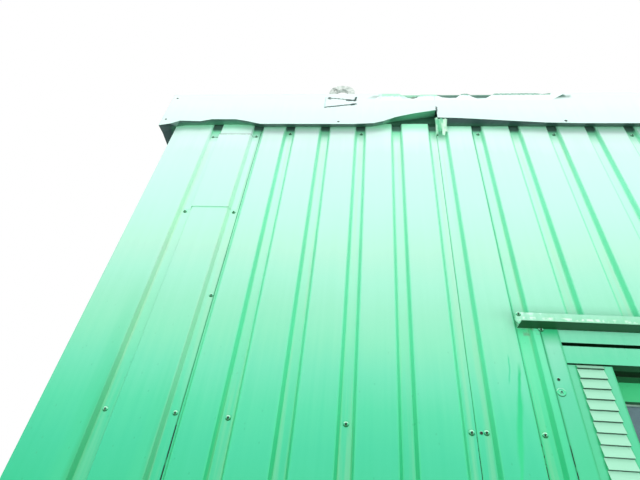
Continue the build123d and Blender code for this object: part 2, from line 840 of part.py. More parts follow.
frame_bottom = window_bottom - sheet
frame_top = window_top + sheet
frame_width = window_width + 2 * sheet
frame_middle = (window_left + window_width / 2, (frame_bottom + frame_top) / 2)
frame_height = frame_top - frame_bottom
light_width = (frame_width - 2 * frame_bar - mullion_width) / 2
light_top = track_bottom - frame_bar           # the head of the frame shows under the track
light_height = light_top - frame_bottom - frame_bar
light_middle = (frame_middle[0], (light_top + frame_bottom + frame_bar) / 2)

with BuildPart() as window_frame:
    with BuildSketch(elevation("front", reveal_depth)):
        with Locations(frame_middle):
            Rectangle(frame_width, frame_height)
        with Locations(light_middle):
            with GridLocations(light_width + mullion_width, 0, 2, 1):
                Rectangle(light_width, light_height, mode=Mode.SUBTRACT)
    extrude(amount=-(wall_thickness - reveal_depth))
    with BuildSketch(elevation("front", reveal_depth + frame_front)):
        with Locations(light_middle):
            with GridLocations(light_width + mullion_width, 0, 2, 1):
                Rectangle(light_width + 2 * frame_lip, light_height + 2 * frame_lip)
    extrude(amount=-wall_thickness, mode=Mode.SUBTRACT)
save_with_mirror(window_frame.part, "window_frame_left", "window_frame_right")

with BuildPart() as window_glass:
    with BuildSketch(elevation("front", reveal_depth + frame_front)):
        with Locations(light_middle):
            with GridLocations(light_width + mullion_width, 0, 2, 1):
                Rectangle(
                    light_width + 2 * (frame_lip - glass_clearance),
                    light_height + 2 * (frame_lip - glass_clearance),
                )
    extrude(amount=-glass_thickness)
save_with_mirror(window_glass.part, "window_glass_left", "window_glass_right")

# ---------------------------------------------------------------- door

door_outer = door_width + 2 * door_jamb
door_face = -door_flange_thickness
leaf_base = floor_level + threshold_height + door_gap
stop_face = door_face + door_leaf_thickness
door_middle = cabin_length / 2

with BuildPart() as door_frame:
    with BuildSketch(elevation("front", door_face)):
        with Locations((door_middle, rail_height)):
            Rectangle(
                door_outer + 2 * door_flange,
                door_top + door_jamb + door_flange - rail_height,
                align=(Align.CENTER, Align.MIN),
            )
    extrude(amount=-door_flange_thickness)
    with BuildSketch(elevation("front")):
        with Locations((door_middle, rail_height)):
            Rectangle(
                door_outer, door_top + door_jamb - rail_height, align=(Align.CENTER, Align.MIN)
            )
    extrude(amount=-door_frame_depth)
    with BuildSketch(elevation("front", door_face)):
        with Locations((door_middle, floor_level + threshold_height)):
            Rectangle(
                door_width,
                door_top - floor_level - threshold_height,
                align=(Align.CENTER, Align.MIN),
            )
    extrude(amount=-door_leaf_thickness, mode=Mode.SUBTRACT)
    with BuildSketch(elevation("front", stop_face)):
        with Locations((door_middle, floor_level + threshold_height)):
            Rectangle(
                door_width - 2 * door_stop,
                door_top - floor_level - threshold_height - door_stop,
                align=(Align.CENTER, Align.MIN),
            )
    extrude(amount=-door_frame_depth, mode=Mode.SUBTRACT)
save(door_frame.part, "door_frame")

leaf_height = door_top - door_gap - leaf_base
door_panel_width = door_width - 2 * door_gap - 2 * door_panel_margin
door_panel_height = (leaf_height - 2 * door_panel_margin - door_panel_gap) / 2

with BuildPart() as door_leaf:
    with BuildSketch(elevation("front", door_face)):
        with Locations((door_middle, leaf_base)):
            Rectangle(door_width - 2 * door_gap, leaf_height, align=(Align.CENTER, Align.MIN))
    extrude(amount=-door_leaf_thickness)
    with BuildSketch(elevation("front", door_face)):
        with Locations((door_middle, leaf_base + leaf_height / 2)):
            with GridLocations(0, door_panel_height + door_panel_gap, 1, 2):
                Rectangle(door_panel_width, door_panel_height)
    extrude(amount=-door_panel_depth, mode=Mode.SUBTRACT)
save(door_leaf.part, "door_leaf")

handle_place = (door_right - door_gap - handle_inset, floor_level + handle_height)

with BuildPart() as door_handle:
    with BuildSketch(elevation("front", door_face)):
        with Locations(handle_place):
            Rectangle(handle_plate_width, handle_plate_height)
    extrude(amount=handle_plate_thickness)
    with BuildSketch(elevation("front", door_face)):
        with Locations(handle_place):
            Circle(lever_diameter / 2)
    extrude(amount=handle_plate_thickness + lever_reach)
    lever_face = door_face - handle_plate_thickness - lever_reach
    with BuildSketch(section("front", handle_place[0] - lever_length)):
        with Locations((lever_face, handle_place[1])):
            Circle(lever_diameter / 2)
    extrude(amount=lever_length + lever_diameter / 2)
save(door_handle.part, "door_handle")

with BuildPart() as door_hinges:
    for height in hinge_heights:
        middle = floor_level + height
        with BuildSketch(plan("front", middle - hinge_length / 2)):
            with Locations((door_left + door_gap / 2, door_face - hinge_diameter / 2)):
                Circle(hinge_diameter / 2)
            with Locations((door_left + door_gap / 2, door_face)):
                Rectangle(
                    2 * hinge_flap, hinge_flap_thickness, align=(Align.CENTER, Align.MAX)
                )
        extrude(amount=hinge_length)
save(door_hinges.part, "door_hinges")

save(
    head_flashing(
        door_left - door_jamb - head_overhang / 2,
        door_right + door_jamb + head_overhang / 2,
        door_top + door_jamb + door_flange + sheet + head_slope,
        over,
    ),
    "door_flashing",
)
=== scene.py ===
from functools import partial
from math import cos, pi, radians, sin
from random import Random

import bmesh
import bpy
from mathutils import Matrix, Vector
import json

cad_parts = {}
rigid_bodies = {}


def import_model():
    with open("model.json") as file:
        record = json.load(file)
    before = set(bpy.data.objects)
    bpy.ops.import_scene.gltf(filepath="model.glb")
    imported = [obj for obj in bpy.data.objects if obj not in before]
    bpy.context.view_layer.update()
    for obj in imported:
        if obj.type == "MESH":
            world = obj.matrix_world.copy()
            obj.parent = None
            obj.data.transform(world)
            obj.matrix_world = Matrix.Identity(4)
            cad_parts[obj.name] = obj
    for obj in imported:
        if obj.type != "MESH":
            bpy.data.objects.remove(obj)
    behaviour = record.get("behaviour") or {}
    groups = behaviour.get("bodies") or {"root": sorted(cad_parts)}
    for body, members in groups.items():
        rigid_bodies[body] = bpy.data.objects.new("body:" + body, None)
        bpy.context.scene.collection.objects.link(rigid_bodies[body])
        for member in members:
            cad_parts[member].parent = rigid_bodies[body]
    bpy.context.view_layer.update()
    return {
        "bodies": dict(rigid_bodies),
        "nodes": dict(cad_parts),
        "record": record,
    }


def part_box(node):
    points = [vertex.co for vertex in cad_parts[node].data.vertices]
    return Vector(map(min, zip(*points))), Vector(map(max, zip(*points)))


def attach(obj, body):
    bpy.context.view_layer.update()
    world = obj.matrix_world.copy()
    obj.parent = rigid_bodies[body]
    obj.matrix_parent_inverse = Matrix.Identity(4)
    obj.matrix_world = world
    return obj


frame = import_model()
nodes = frame["nodes"]
body = next(iter(frame["bodies"]))  # nothing on the cabin moves, so it has one
scene = bpy.context.scene

mm = 0.001

# places on a wall are written as along from its left corner as seen from outside, depth
# behind the crests of its sheets, and height, in millimetres
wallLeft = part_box("cladding_corner_front_left")[0].x
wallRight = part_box("cladding_corner_front_right")[1].x
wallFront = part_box("cladding_corner_front_left")[0].y
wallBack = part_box("cladding_corner_back_left")[1].y
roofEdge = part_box("fascia_front_3")
roofTop = roofEdge[1].z
fasciaProud = (wallFront - roofEdge[0].y) / mm

wallTurn = {"front": 0.0, "right": 90.0, "back": 180.0, "left": 270.0}  # about the upright axis
wallReach = {"front": wallFront, "right": -wallRight, "back": -wallBack, "left": wallLeft}
length = (wallRight - wallLeft) / mm
width = (wallBack - wallFront) / mm
wallSpan = {"front": length, "right": width, "back": length, "left": width}


# the frame of a spot on a wall: its Z points out of the wall and its Y up
def onWall(wall, along, depth, height):
    spot = Matrix.Translation(
        (-wallSpan[wall] / 2 * mm + along * mm, wallReach[wall] + depth * mm, height * mm)
    )
    return Matrix.Rotation(radians(wallTurn[wall]), 4, "Z") @ spot @ Matrix.Rotation(pi / 2, 4, "X")


# an sRGB hex colour as Blender's linear one
def toLinear(hexColour):
    channels = [int(hexColour[i:i + 2], 16) / 255 for i in (1, 3, 5)]
    return tuple(c / 12.92 if c <= 0.04045 else ((c + 0.055) / 1.055) ** 2.4 for c in channels) + (1.0,)


def newMaterial(name):
    material = bpy.data.materials.new(name)
    material.use_nodes = True
    material.node_tree.nodes.clear()
    return material


# settings are attributes, or values of inputs by name or number; links go into i0, i1 or a
# named input, from a node's first output in use or from a given one
def addNode(material, kind, settings, **links):
    node = material.node_tree.nodes.new("ShaderNode" + kind)
    for name, value in settings.items():
        if name == "stops":  # of a ramp: place and colour
            while len(node.color_ramp.elements) < len(value):
                node.color_ramp.elements.new(1.0)
            for stop, (place, colour) in zip(node.color_ramp.elements, value):
                stop.position, stop.color = place, toLinear(colour)
        elif isinstance(name, str) and hasattr(node, name):
            setattr(node, name, value)
        else:
            node.inputs[name].default_value = toLinear(value) if isinstance(value, str) else value
    for name, source in links.items():
        socket = int(name[1:]) if name[1:].isdigit() else name.replace("_", " ")
        if hasattr(source, "outputs"):
            source = next(output for output in source.outputs if output.enabled)
        material.node_tree.links.new(source, node.inputs[socket])
    return node


# Coil-coated steel sheet: a satin polyester paint baked on at the mill. Faces in the open get a
# colour that pales towards the roof edge, which is painted glare of the bright sky, and the flanks
# of its folds and whatever lies under a flashing get a greener copy of it, which is painted shade.
# Heights, depths behind the crests and sizes are in millimetres.
sheetPaint = {
    # faces in the open: paler up the height, towards the roof edge, as painted glare
    "open": [
        (0, "#0c965e"), (900, "#0ca269"), (1500, "#0caf78"), (1700, "#21b782"), (1789, "#37bf90"),
        (1859, "#4bc899"), (1929, "#67d0a8"), (1999, "#7fd7b0"), (2069, "#8fdbb9"), (2139, "#9ce1c5"),
        (2219, "#ace4cc"), (2299, "#b4f6d7"), (2379, "#bcf7de"), (2459, "#c2f7e2"), (2560, "#cbf8e7"),
        (2629, "#defff6"), (2800, "#eeffff"),
    ],
    # faces in shade, on flanks and under flashings: a greener copy, as painted shade
    "shaded": [
        (0, "#1f9a5e"), (900, "#25a468"), (1600, "#2fb878"), (1789, "#38c585"), (1859, "#46cf90"),
        (1999, "#5adfa6"), (2219, "#70e4b0"), (2459, "#8ceec6"), (2629, "#90f0c4"), (2655, "#b0ffda"),
        (2800, "#a0f8cc"),
    ],
    "noiseSpan": {"From Min": 0.3, "From Max": 0.7},  # that most of a noise lies in
    "streakWidth": 12.0,          # of one run of rain water
    "streakLength": 40.0,         # times its width
    "blotches": 2.2,              # to a metre
    "grains": 160.0,              # to a metre
    "streakShift": 0.003,         # of the ramp with its painted glare, as a share of the height
    "blotchShift": 0.006,
    "shadeReach": 4.0,          # of the painted shade from a flank round its bend
    "flankTurn": (0.08, 0.4),     # X times Y of a normal, between a crest and a flank
    "fringe": (2652.0, 2680.0),   # painted shade right under the roof edge
    "grooveRuns": (5.0, 8.0),     # depths where grey-brown runs begin and are full
    "grooveRunShare": (0.48, 0.66),
    "grooveRunColour": "#b5c7a0",
    "grooveTopDepth": (3.5, 6.0),
    "grooveTopShade": [(2615, 2662, "#86e6b8", 0.9), (2664, 2676, "#46605a", 0.9)],  # painted shade at the grooves' tops: foot, top, colour, amount
    "wobbles": 18.0,              # to a metre, of a run of water
    "wobbleShift": 0.01,          # so that no two runs wobble together
    "runCore": 0.3,               # of a run's half width that has its full colour
    "steep": 0.15,                # upright part of a normal from which a face looks down
    "steepSpan": 0.25,
    "upward": (0.1, 0.25),
    "underside": -0.3,            # faces that look further down keep clear of wear
    "lineCore": 0.4,              # of a line's half width
    "wearShare": (0.47, 0.6),
    "wearEdge": 3.0,              # over which a patch fades
    "dropSpacing": 26.0,          # of dried rain drops
    "dropSize": 1.5,
    "dropCore": 0.4,              # of a drop's size
    "dropStretch": 0.6,           # under 1, because drops are taller than wide
    "dropRare": 0.7,              # share of the spots that stay free
    "dropFade": (2100.0, 1900.0),  # chalk hides them above
    "dropAmount": 0.2,
    "dropColour": "#1f8f5a",
    "splashFade": (620.0, 130.0),
    "splashShare": (0.35, 0.75),
    "splashAmount": 0.75,
    "splashColour": "#8a8c72",
    "roughness": 0.36,
    "roughSpread": (-0.05, 0.08),
    "bend": 1.6,                  # radius of the sheet's folds
    "panSize": 420.0,             # of the shallow waves in flat sheet
    "panRelief": (0.35, 6.0),     # strength and depth
    "gritRelief": (0.12, 0.3),
    "dropRelief": (0.5, 0.4),
}


# satin paint that pales towards the roof edge as painted glare; look says what dirt, wear, painted shade and
# painted highlights a sheet shows
def paintedSheet(name, look):
    material = newMaterial(name)
    add = partial(addNode, material)
    place = add("TexCoord", {}).outputs["Object"]
    x, y, z = add("SeparateXYZ", {}, Vector=place).outputs
    normal = add("NewGeometry", {}).outputs["True Normal"]
    facingUp = add("SeparateXYZ", {}, Vector=normal).outputs["Z"]
    fromMiddle = add("Math", {"operation": "ABSOLUTE"}, i0=x)
    across = add("Math", {"operation": "ABSOLUTE"}, i0=y)
    onFront = add("Math", {"operation": "LESS_THAN", 1: 0.0}, i0=y)  # where the dirt, wear and some painted shade are
    run = add("Math", {"operation": "ADD"}, i0=x, i1=y)
    flat = add("CombineXYZ", {}, X=run, Y=z)

    # how far behind the crests of the nearest wall
    behindEnd = add("Math", {"operation": "SUBTRACT", 0: wallRight}, i1=fromMiddle)
    behindSide = add("Math", {"operation": "SUBTRACT", 0: wallBack}, i1=across)
    behind = add("Math", {"operation": "MINIMUM"}, i0=behindEnd, i1=behindSide)

    streakScale = 1000 / sheetPaint["streakWidth"]
    stretch = (streakScale, streakScale / sheetPaint["streakLength"], 1.0)
    stretched = add("Mapping", {"Scale": stretch}, Vector=flat)
    streaks = add("TexNoise", {"noise_dimensions": "2D", "Scale": 1.0, "Detail": 3.0}, Vector=stretched)
    cloud = add("TexNoise", {"Scale": sheetPaint["blotches"], "Detail": 4.0}, Vector=place)
    fine = add("TexNoise", {"Scale": sheetPaint["grains"], "Detail": 4.0}, Vector=place)

    # the height that picks the colour wanders a little with the streaks and blotches
    share = add("Math", {"operation": "DIVIDE", 1: roofTop}, i0=z)
    for noise, reach in ((streaks, sheetPaint["streakShift"]), (cloud, sheetPaint["blotchShift"])):
        shift = add("MapRange", {**sheetPaint["noiseSpan"], "To Min": -reach, "To Max": reach}, Value=noise)
        share = add("Math", {"operation": "ADD"}, i0=share, i1=shift)
    ramps = {}
    for side in ("open", "shaded"):
        stops = [(height * mm / roofTop, colour) for height, colour in look.get(side, sheetPaint[side])]
        ramps[side] = add("ValToRGB", {"stops": stops}, Fac=share).outputs["Color"]

    # painted shade: on the flanks of the folds, and in a fringe under the roof edge
    softened = add("Bevel", {"samples": 8, "Radius": sheetPaint["shadeReach"] * mm})
    softX, softY, _ = add("SeparateXYZ", {}, Vector=softened).outputs
    turn = add("Math", {"operation": "MULTIPLY"}, i0=softX, i1=softY)
    turn = add("Math", {"operation": "ABSOLUTE"}, i0=turn)
    low, high = sheetPaint["flankTurn"]
    amount = look.get("flank", 1.0)
    paintedShade = add("MapRange", {"From Min": low, "From Max": high, "To Max": amount}, Value=turn)
    low, high = look.get("fringe", sheetPaint["fringe"])
    fringe = add("MapRange", {"From Min": low * mm, "From Max": high * mm}, Value=z)
    paintedShade = add("Math", {"operation": "MAXIMUM"}, i0=paintedShade, i1=fringe)
    if "shadeBelowFlashing" in look:  # painted shade under a head flashing: a strip's foot, top, ends from the cabin's middle, least amount
        low, high, inner, outer, amount = look["shadeBelowFlashing"]
        under = add(
            "MapRange", {"From Min": low * mm, "From Max": high * mm, "To Min": amount, "To Max": 1.0},
            Value=z,
        )
        below = add("Math", {"operation": "LESS_THAN", 1: high * mm}, i0=z)
        within = add("Math", {"operation": "LESS_THAN", 1: outer * mm}, i0=fromMiddle)
        beside = add("Math", {"operation": "GREATER_THAN", 1: inner * mm}, i0=fromMiddle)
        for limit in (below, within, beside, onFront):
            under = add("Math", {"operation": "MULTIPLY"}, i0=under, i1=limit)
        paintedShade = add("Math", {"operation": "MAXIMUM"}, i0=paintedShade, i1=under)
    colour = add("Mix", {"data_type": "RGBA"}, i0=paintedShade, i6=ramps["open"], i7=ramps["shaded"])

    if "groove" in look:  # thin runs of dirt in the grooves, and painted shade at the grooves' tops
        low, high = sheetPaint["grooveRuns"]
        inGroove = add(
            "MapRange", {"From Min": low * mm, "From Max": high * mm, "To Max": look["groove"]},
            Value=behind,
        )
        low, high = sheetPaint["grooveRunShare"]
        runs = add("MapRange", {"From Min": low, "From Max": high}, Value=streaks)
        dirt = add("Math", {"operation": "MULTIPLY"}, i0=inGroove, i1=runs)
        colour = add("Mix", {"data_type": "RGBA", 7: sheetPaint["grooveRunColour"]}, i0=dirt, i6=colour)
        low, high = sheetPaint["grooveTopDepth"]
        deepShade = add("MapRange", {"From Min": low * mm, "From Max": high * mm}, Value=behind)
        for low, high, tone, amount in sheetPaint["grooveTopShade"]:
            top = add("MapRange", {"From Min": low * mm, "From Max": high * mm, "To Max": amount}, Value=z)
            top = add("Math", {"operation": "MULTIPLY"}, i0=top, i1=deepShade)
            colour = add("Mix", {"data_type": "RGBA", 7: tone}, i0=top, i6=colour)

    # runs down a wall: distance from its corner, half width, top, foot, fade, colour, amount, wobble
    # and lean, outwards for each metre up
    for distance, wide, top, foot, fade, tone, amount, wobble, *lean in look.get("runs", ()):
        lifted = add("Math", {"operation": "ADD", 1: distance * sheetPaint["wobbleShift"]}, i0=z)
        swing = add(
            "TexNoise", {"noise_dimensions": "1D", "Scale": sheetPaint["wobbles"], "Detail": 3.0}, W=lifted
        )
        swing = add("MapRange", {"To Min": -wobble * mm, "To Max": wobble * mm}, Value=swing)
        line = wallRight - distance * mm
        off = add("Math", {"operation": "SUBTRACT", 1: line}, i0=fromMiddle)
        off = add("Math", {"operation": "ADD"}, i0=off, i1=swing)
        if lean:
            leaning = add("Math", {"operation": "MULTIPLY_ADD", 1: lean[0], 2: -lean[0] * top * mm}, i0=z)
            off = add("Math", {"operation": "ADD"}, i0=off, i1=leaning)
        off = add("Math", {"operation": "ABSOLUTE"}, i0=off)
        core = wide * sheetPaint["runCore"]
        mask = add("MapRange", {"From Min": wide * mm, "From Max": core * mm, "To Max": amount}, Value=off)
        fall = add("MapRange", {"From Min": top * mm, "From Max": (top - fade) * mm}, Value=z)
        end = add("MapRange", {"From Min": foot * mm, "From Max": (foot + fade) * mm}, Value=z)
        for limit in (fall, end, onFront):
            mask = add("Math", {"operation": "MULTIPLY"}, i0=mask, i1=limit)
        colour = add("Mix", {"data_type": "RGBA", 7: tone}, i0=mask, i6=colour)

    # painted shade on faces that look down and a painted highlight on faces that look up, such as a lip, a
    # louvre or the foot of a folded edge
    steep = look.get("steep", sheetPaint["steep"])
    down = (-steep, -steep - sheetPaint["steepSpan"])
    for side, (low, high) in (("down", down), ("up", sheetPaint["upward"])):
        if side not in look:
            continue
        mask = add("MapRange", {"From Min": low, "From Max": high}, Value=facingUp)
        tone = look[side]
        if isinstance(tone, str):
            colour = add("Mix", {"data_type": "RGBA", 7: tone}, i0=mask, i6=colour)
            continue
        # painted shade across the roof flashing's underside, from its outer edge inwards
        low, high = -fasciaProud * mm, look["lipEnd"] * mm
        inwards = add("MapRange", {"From Min": low, "From Max": high}, Value=behind)
        shade = add("ValToRGB", {"stops": tone}, Fac=inwards)
        colour = add("Mix", {"data_type": "RGBA"}, i0=mask, i6=colour, i7=shade)
    if "deepShade" in look:  # painted shade inside a housing: dark green beyond a given depth behind the crests
        low, high, tone = look["deepShade"]
        mask = add("MapRange", {"From Min": low * mm, "From Max": high * mm}, Value=behind)
        colour = add("Mix", {"data_type": "RGBA", 7: tone}, i0=mask, i6=colour)
    if "litRaisedFoot" in look:  # painted light: where the roof flashing stands off, the underside of its raised foot is painted lighter, as if lit
        low, high, tone, end = look["litRaisedFoot"]
        raised = add("MapRange", {"From Min": low * mm, "From Max": high * mm}, Value=z)
        under = add("Math", {"operation": "LESS_THAN", 1: sheetPaint["underside"]}, i0=facingUp)
        first = add("Math", {"operation": "LESS_THAN", 1: wallLeft + end * mm}, i0=x)
        for limit in (under, first):
            raised = add("Math", {"operation": "MULTIPLY"}, i0=raised, i1=limit)
        colour = add("Mix", {"data_type": "RGBA", 7: tone}, i0=raised, i6=colour)
    if "pressedEdge" in look:  # the faces of the dips pushed in behind the roof edge's top are painted dark green-grey, with a brown stain in one
        dips = look["pressedEdge"]
        outer = -fasciaProud + dips["outer"]
        inner = -fasciaProud + dips["inner"]
        low, high = dips["turn"]
        pressed = add("MapRange", {"From Min": low, "From Max": high}, Value=facingUp)
        inside = add("MapRange", {"From Min": outer * mm, "From Max": (outer + 1.0) * mm}, Value=behind)
        outside = add("Math", {"operation": "LESS_THAN", 1: inner * mm}, i0=behind)
        low, high = dips["heights"]
        upper = add("MapRange", {"From Min": low * mm, "From Max": high * mm}, Value=z)
        for limit in (inside, outside, upper, onFront):
            pressed = add("Math", {"operation": "MULTIPLY"}, i0=pressed, i1=limit)
        colour = add("Mix", {"data_type": "RGBA", 7: dips["colour"]}, i0=pressed, i6=colour)
        stain = wallLeft + dips["stainAlong"] * mm
        off = add("Math", {"operation": "SUBTRACT", 1: stain}, i0=x)
        off = add("Math", {"operation": "ABSOLUTE"}, i0=off)
        off = add("MapRange", {"From Min": dips["stainReach"] * mm, "From Max": 0.0}, Value=off)
        off = add("Math", {"operation": "MULTIPLY"}, i0=off, i1=pressed)
        colour = add("Mix", {"data_type": "RGBA", 7: dips["stain"]}, i0=off, i6=colour)

    # grime along torn or cut lines, and painted shade along parts of the roof edge's top: both ends as along
    # and height, then half its width, colour and amount
    for (startAlong, startHeight), (endAlong, endHeight), wide, tone, amount in look.get("lines", ()):
        start = Vector((wallLeft + startAlong * mm, 0.0, startHeight * mm))
        line = Vector(((endAlong - startAlong) * mm, 0.0, (endHeight - startHeight) * mm))
        offset = add("VectorMath", {"operation": "SUBTRACT", 1: tuple(start)}, i0=place)
        offset = add("VectorMath", {"operation": "MULTIPLY", 1: (1.0, 0.0, 1.0)}, i0=offset)
        portion = tuple(line / line.length_squared)
        part = add("VectorMath", {"operation": "DOT_PRODUCT", 1: portion}, i0=offset).outputs["Value"]
        part = add("Clamp", {}, Value=part)
        foot = add("VectorMath", {"operation": "SCALE", 0: tuple(line)}, Scale=part)
        gap = add("VectorMath", {"operation": "DISTANCE"}, i0=offset, i1=foot).outputs["Value"]
        ragged = add("MapRange", {"To Min": -wide * mm, "To Max": wide * mm}, Value=fine)
        gap = add("Math", {"operation": "ADD"}, i0=gap, i1=ragged)
        core = wide * sheetPaint["lineCore"]
        mask = add("MapRange", {"From Min": wide * mm, "From Max": core * mm, "To Max": amount}, Value=gap)
        mask = add("Math", {"operation": "MULTIPLY"}, i0=mask, i1=onFront)
        colour = add("Mix", {"data_type": "RGBA", 7: tone}, i0=mask, i6=colour)

    # wear and dirt in patches, and painted shade in a crease of the roof edge: heights, places from the
    # corner, colour, amount, size of its grain
    for foot, top, start, end, tone, amount, size in look.get("wear", ()):
        grain = add("TexNoise", {"Scale": 1000 / size, "Detail": 3.0}, Vector=place)
        low, high = sheetPaint["wearShare"]
        worn = add("MapRange", {"From Min": low, "From Max": high, "To Max": amount}, Value=grain)
        notUnder = add("Math", {"operation": "GREATER_THAN", 1: sheetPaint["underside"]}, i0=facingUp)
        limits = [notUnder, onFront]
        for value, low, high in (
            (z, foot * mm, top * mm), (fromMiddle, wallRight - end * mm, wallRight - start * mm),
        ):
            soft = min(sheetPaint["wearEdge"] * mm, (high - low) / 3)
            for edge, full in ((low, low + soft), (high, high - soft)):
                limits.append(add("MapRange", {"From Min": edge, "From Max": full}, Value=value))
        for limit in limits:
            worn = add("Math", {"operation": "MULTIPLY"}, i0=worn, i1=limit)
        colour = add("Mix", {"data_type": "RGBA", 7: tone}, i0=worn, i6=colour)

    # dried rain drops, and grey splash above the ground
    spread = 1000 / sheetPaint["dropSpacing"]
    stretch = (spread, spread * sheetPaint["dropStretch"], 1.0)
    stretched = add("Mapping", {"Scale": stretch}, Vector=flat)
    cells = add("TexVoronoi", {"voronoi_dimensions": "2D", "Scale": 1.0}, Vector=stretched).outputs
    size = sheetPaint["dropSize"] / sheetPaint["dropSpacing"]
    core = sheetPaint["dropCore"] * size
    near = add("MapRange", {"From Min": size, "From Max": core}, Value=cells["Distance"])
    pick = add("SeparateColor", {}, Color=cells["Color"])
    chosen = add("Math", {"operation": "GREATER_THAN", 1: sheetPaint["dropRare"]}, i0=pick)
    drops = add("Math", {"operation": "MULTIPLY"}, i0=near, i1=chosen)
    high, low = sheetPaint["dropFade"]
    lowDown = add(
        "MapRange", {"From Min": high * mm, "From Max": low * mm, "To Max": sheetPaint["dropAmount"]},
        Value=z,
    )
    shade = add("Math", {"operation": "MULTIPLY"}, i0=drops, i1=lowDown)
    colour = add("Mix", {"data_type": "RGBA", 7: sheetPaint["dropColour"]}, i0=shade, i6=colour)
    high, low = sheetPaint["splashFade"]
    splash = add(
        "MapRange", {"From Min": high * mm, "From Max": low * mm, "To Max": sheetPaint["splashAmount"]},
        Value=z,
    )
    low, high = sheetPaint["splashShare"]
    spatter = add("MapRange", {"From Min": low, "From Max": high}, Value=fine)
    splash = add("Math", {"operation": "MULTIPLY"}, i0=splash, i1=spatter)
    colour = add("Mix", {"data_type": "RGBA", 7: sheetPaint["splashColour"]}, i0=splash, i6=colour)

    base = sheetPaint["roughness"] + look.get("rough", 0.0)
    low, high = sheetPaint["roughSpread"]
    roughness = add(
        "MapRange", {**sheetPaint["noiseSpan"], "To Min": base + low, "To Max": base + high}, Value=cloud
    )
    relief = add("Bevel", {"samples": 4, "Radius": look.get("bend", sheetPaint["bend"]) * mm})
    pan = add("TexNoise", {"Scale": 1000 / sheetPaint["panSize"], "Detail": 1.0}, Vector=place)
    for height, (strength, depth) in (
        (pan, sheetPaint["panRelief"]), (fine, sheetPaint["gritRelief"]), (drops, sheetPaint["dropRelief"]),
    ):
        relief = add("Bump", {"Strength": strength, "Distance": depth * mm}, Height=height, Normal=relief)
    shader = add("BsdfPrincipled", {"IOR": 1.45}, Base_Color=colour, Roughness=roughness, Normal=relief)
    add("OutputMaterial", {}, Surface=shader)
    return material


noFringe = (4000.0, 4100.0)  # heights above the cabin
claddingPaint = paintedSheet("green_coil_coating_painted_light", {
    "groove": 0.16, "shadeBelowFlashing": (1975.0, 2036.0, 1115.0, 2158.0, 0.45),
    "wear": [(2018.0, 2036.0, 855.0, 892.0, "#7f9a78", 0.55, 12.0)],
})
cornerPaint = paintedSheet("green_coil_coating_stained_painted_light", {
    "groove": 0.12, "flank": 0.0,
    "runs": [
        (111.0, 7.0, 2640.0, 0.0, 300.0, "#b9dcae", 0.3, 1.5),
        (231.0, 6.0, 2640.0, 0.0, 300.0, "#b9dcae", 0.2, 1.5),
        (95.0, 26.0, 2150.0, 0.0, 400.0, "#38bf88", 0.55, 3.0),
        (216.0, 18.0, 1980.0, 0.0, 300.0, "#38bf88", 0.5, 3.0),
        (108.0, 12.0, 1960.0, 0.0, 250.0, "#2aac70", 0.8, 2.0),
        (229.0, 10.0, 1900.0, 0.0, 250.0, "#2aac70", 0.6, 2.0),
    ],
    "lines": [
        ((121, 2638), (134, 2638), 2.6, "#3c6052", 0.95), ((136, 2638), (227, 2638), 2.8, "#8ba297", 0.95),
        ((229, 2639), (241, 2640), 2.6, "#3c6052", 0.95),
    ],
})
infillPaint = paintedSheet("green_coil_coating_run_painted_light", {
    "groove": 0.16,
    "runs": [
        (834.5, 3.6, 1962.0, 1500.0, 25.0, "#22c280", 0.95, 2.0, 0.168),
        (825.0, 6.5, 1908.0, 1780.0, 25.0, "#22c280", 0.95, 2.0, 0.168),
        (817.6, 2.0, 1976.0, 1915.0, 10.0, "#3cc892", 0.8, 3.0, 0.1),
    ],
})
# painted highlight on the tops of the heads, painted shade under them
rivetPaint = paintedSheet("green_rivet_head_painted_light", {
    "up": "#c4ffe2", "down": "#0d6438", "steep": 0.05, "fringe": noFringe, "bend": 0.2,
})
# the roof edge's colour up the height, near white at the top: painted glare of the bright sky, for open and
# shaded faces alike
roofEdgeGlare = [(0, "#46c48c"), (2560, "#d4f8ee"), (2690, "#dffcf5"), (2740, "#e6fcf9"), (2800, "#e8fcf8")]
roofEdgePaint = paintedSheet("green_roof_edge_painted_light", {
    "open": roofEdgeGlare, "shaded": roofEdgeGlare, "fringe": noFringe, "bend": 1.0, "steep": 0.45,
    # painted shade under the lip: dark grey at its outer edge, greener further in
    "down": [(0.0, "#2e3c3f"), (0.35, "#2e4042"), (0.75, "#31604a"), (1.0, "#3f8262")],
    "litRaisedFoot": (2664.0, 2712.0, "#66ba92", 747.0),
    "lipEnd": 10.0,  # depth at which the painted shade of its underside ends
    "pressedEdge": {
        "outer": 0.5, "inner": 8.0, "turn": (-0.15, -0.1), "heights": (2774.0, 2786.0), "colour": "#3d6a5c",
        "stain": "#6a4c48", "stainAlong": 684.0, "stainReach": 16.0,
    },
    # painted shade in the crease under the top edge, left of the first dip
    "wear": [(2776.0, 2801.0, 585.0, 705.0, "#8fe0b8", 0.8, 90.0)],
    "lines": [
        ((434, 2729), (521, 2745), 4.4, "#35524e", 0.95), ((444, 2779), (519, 2765), 3.0, "#4f6664", 0.9),
        ((496, 2766), (519, 2765), 6.0, "#243c3a", 0.95), ((519, 2765), (522, 2781), 4.0, "#35504c", 0.95),
        ((443, 2779), (445, 2776), 6.5, "#35504c", 0.9), ((433, 2730), (433, 2781), 2.4, "#b9d8d4", 0.8),
        ((509, 2743), (521, 2745), 6.0, "#35524e", 0.9), ((748, 2734), (747, 2706), 3.6, "#46585c", 0.9),
        # painted shade along the top edge, where it leans out and where it is creased
        ((752, 2796), (1068, 2797), 4.0, "#5f9c82", 0.85), ((600, 2796), (750, 2796), 8.0, "#9fe4c2", 0.85),
    ],
})
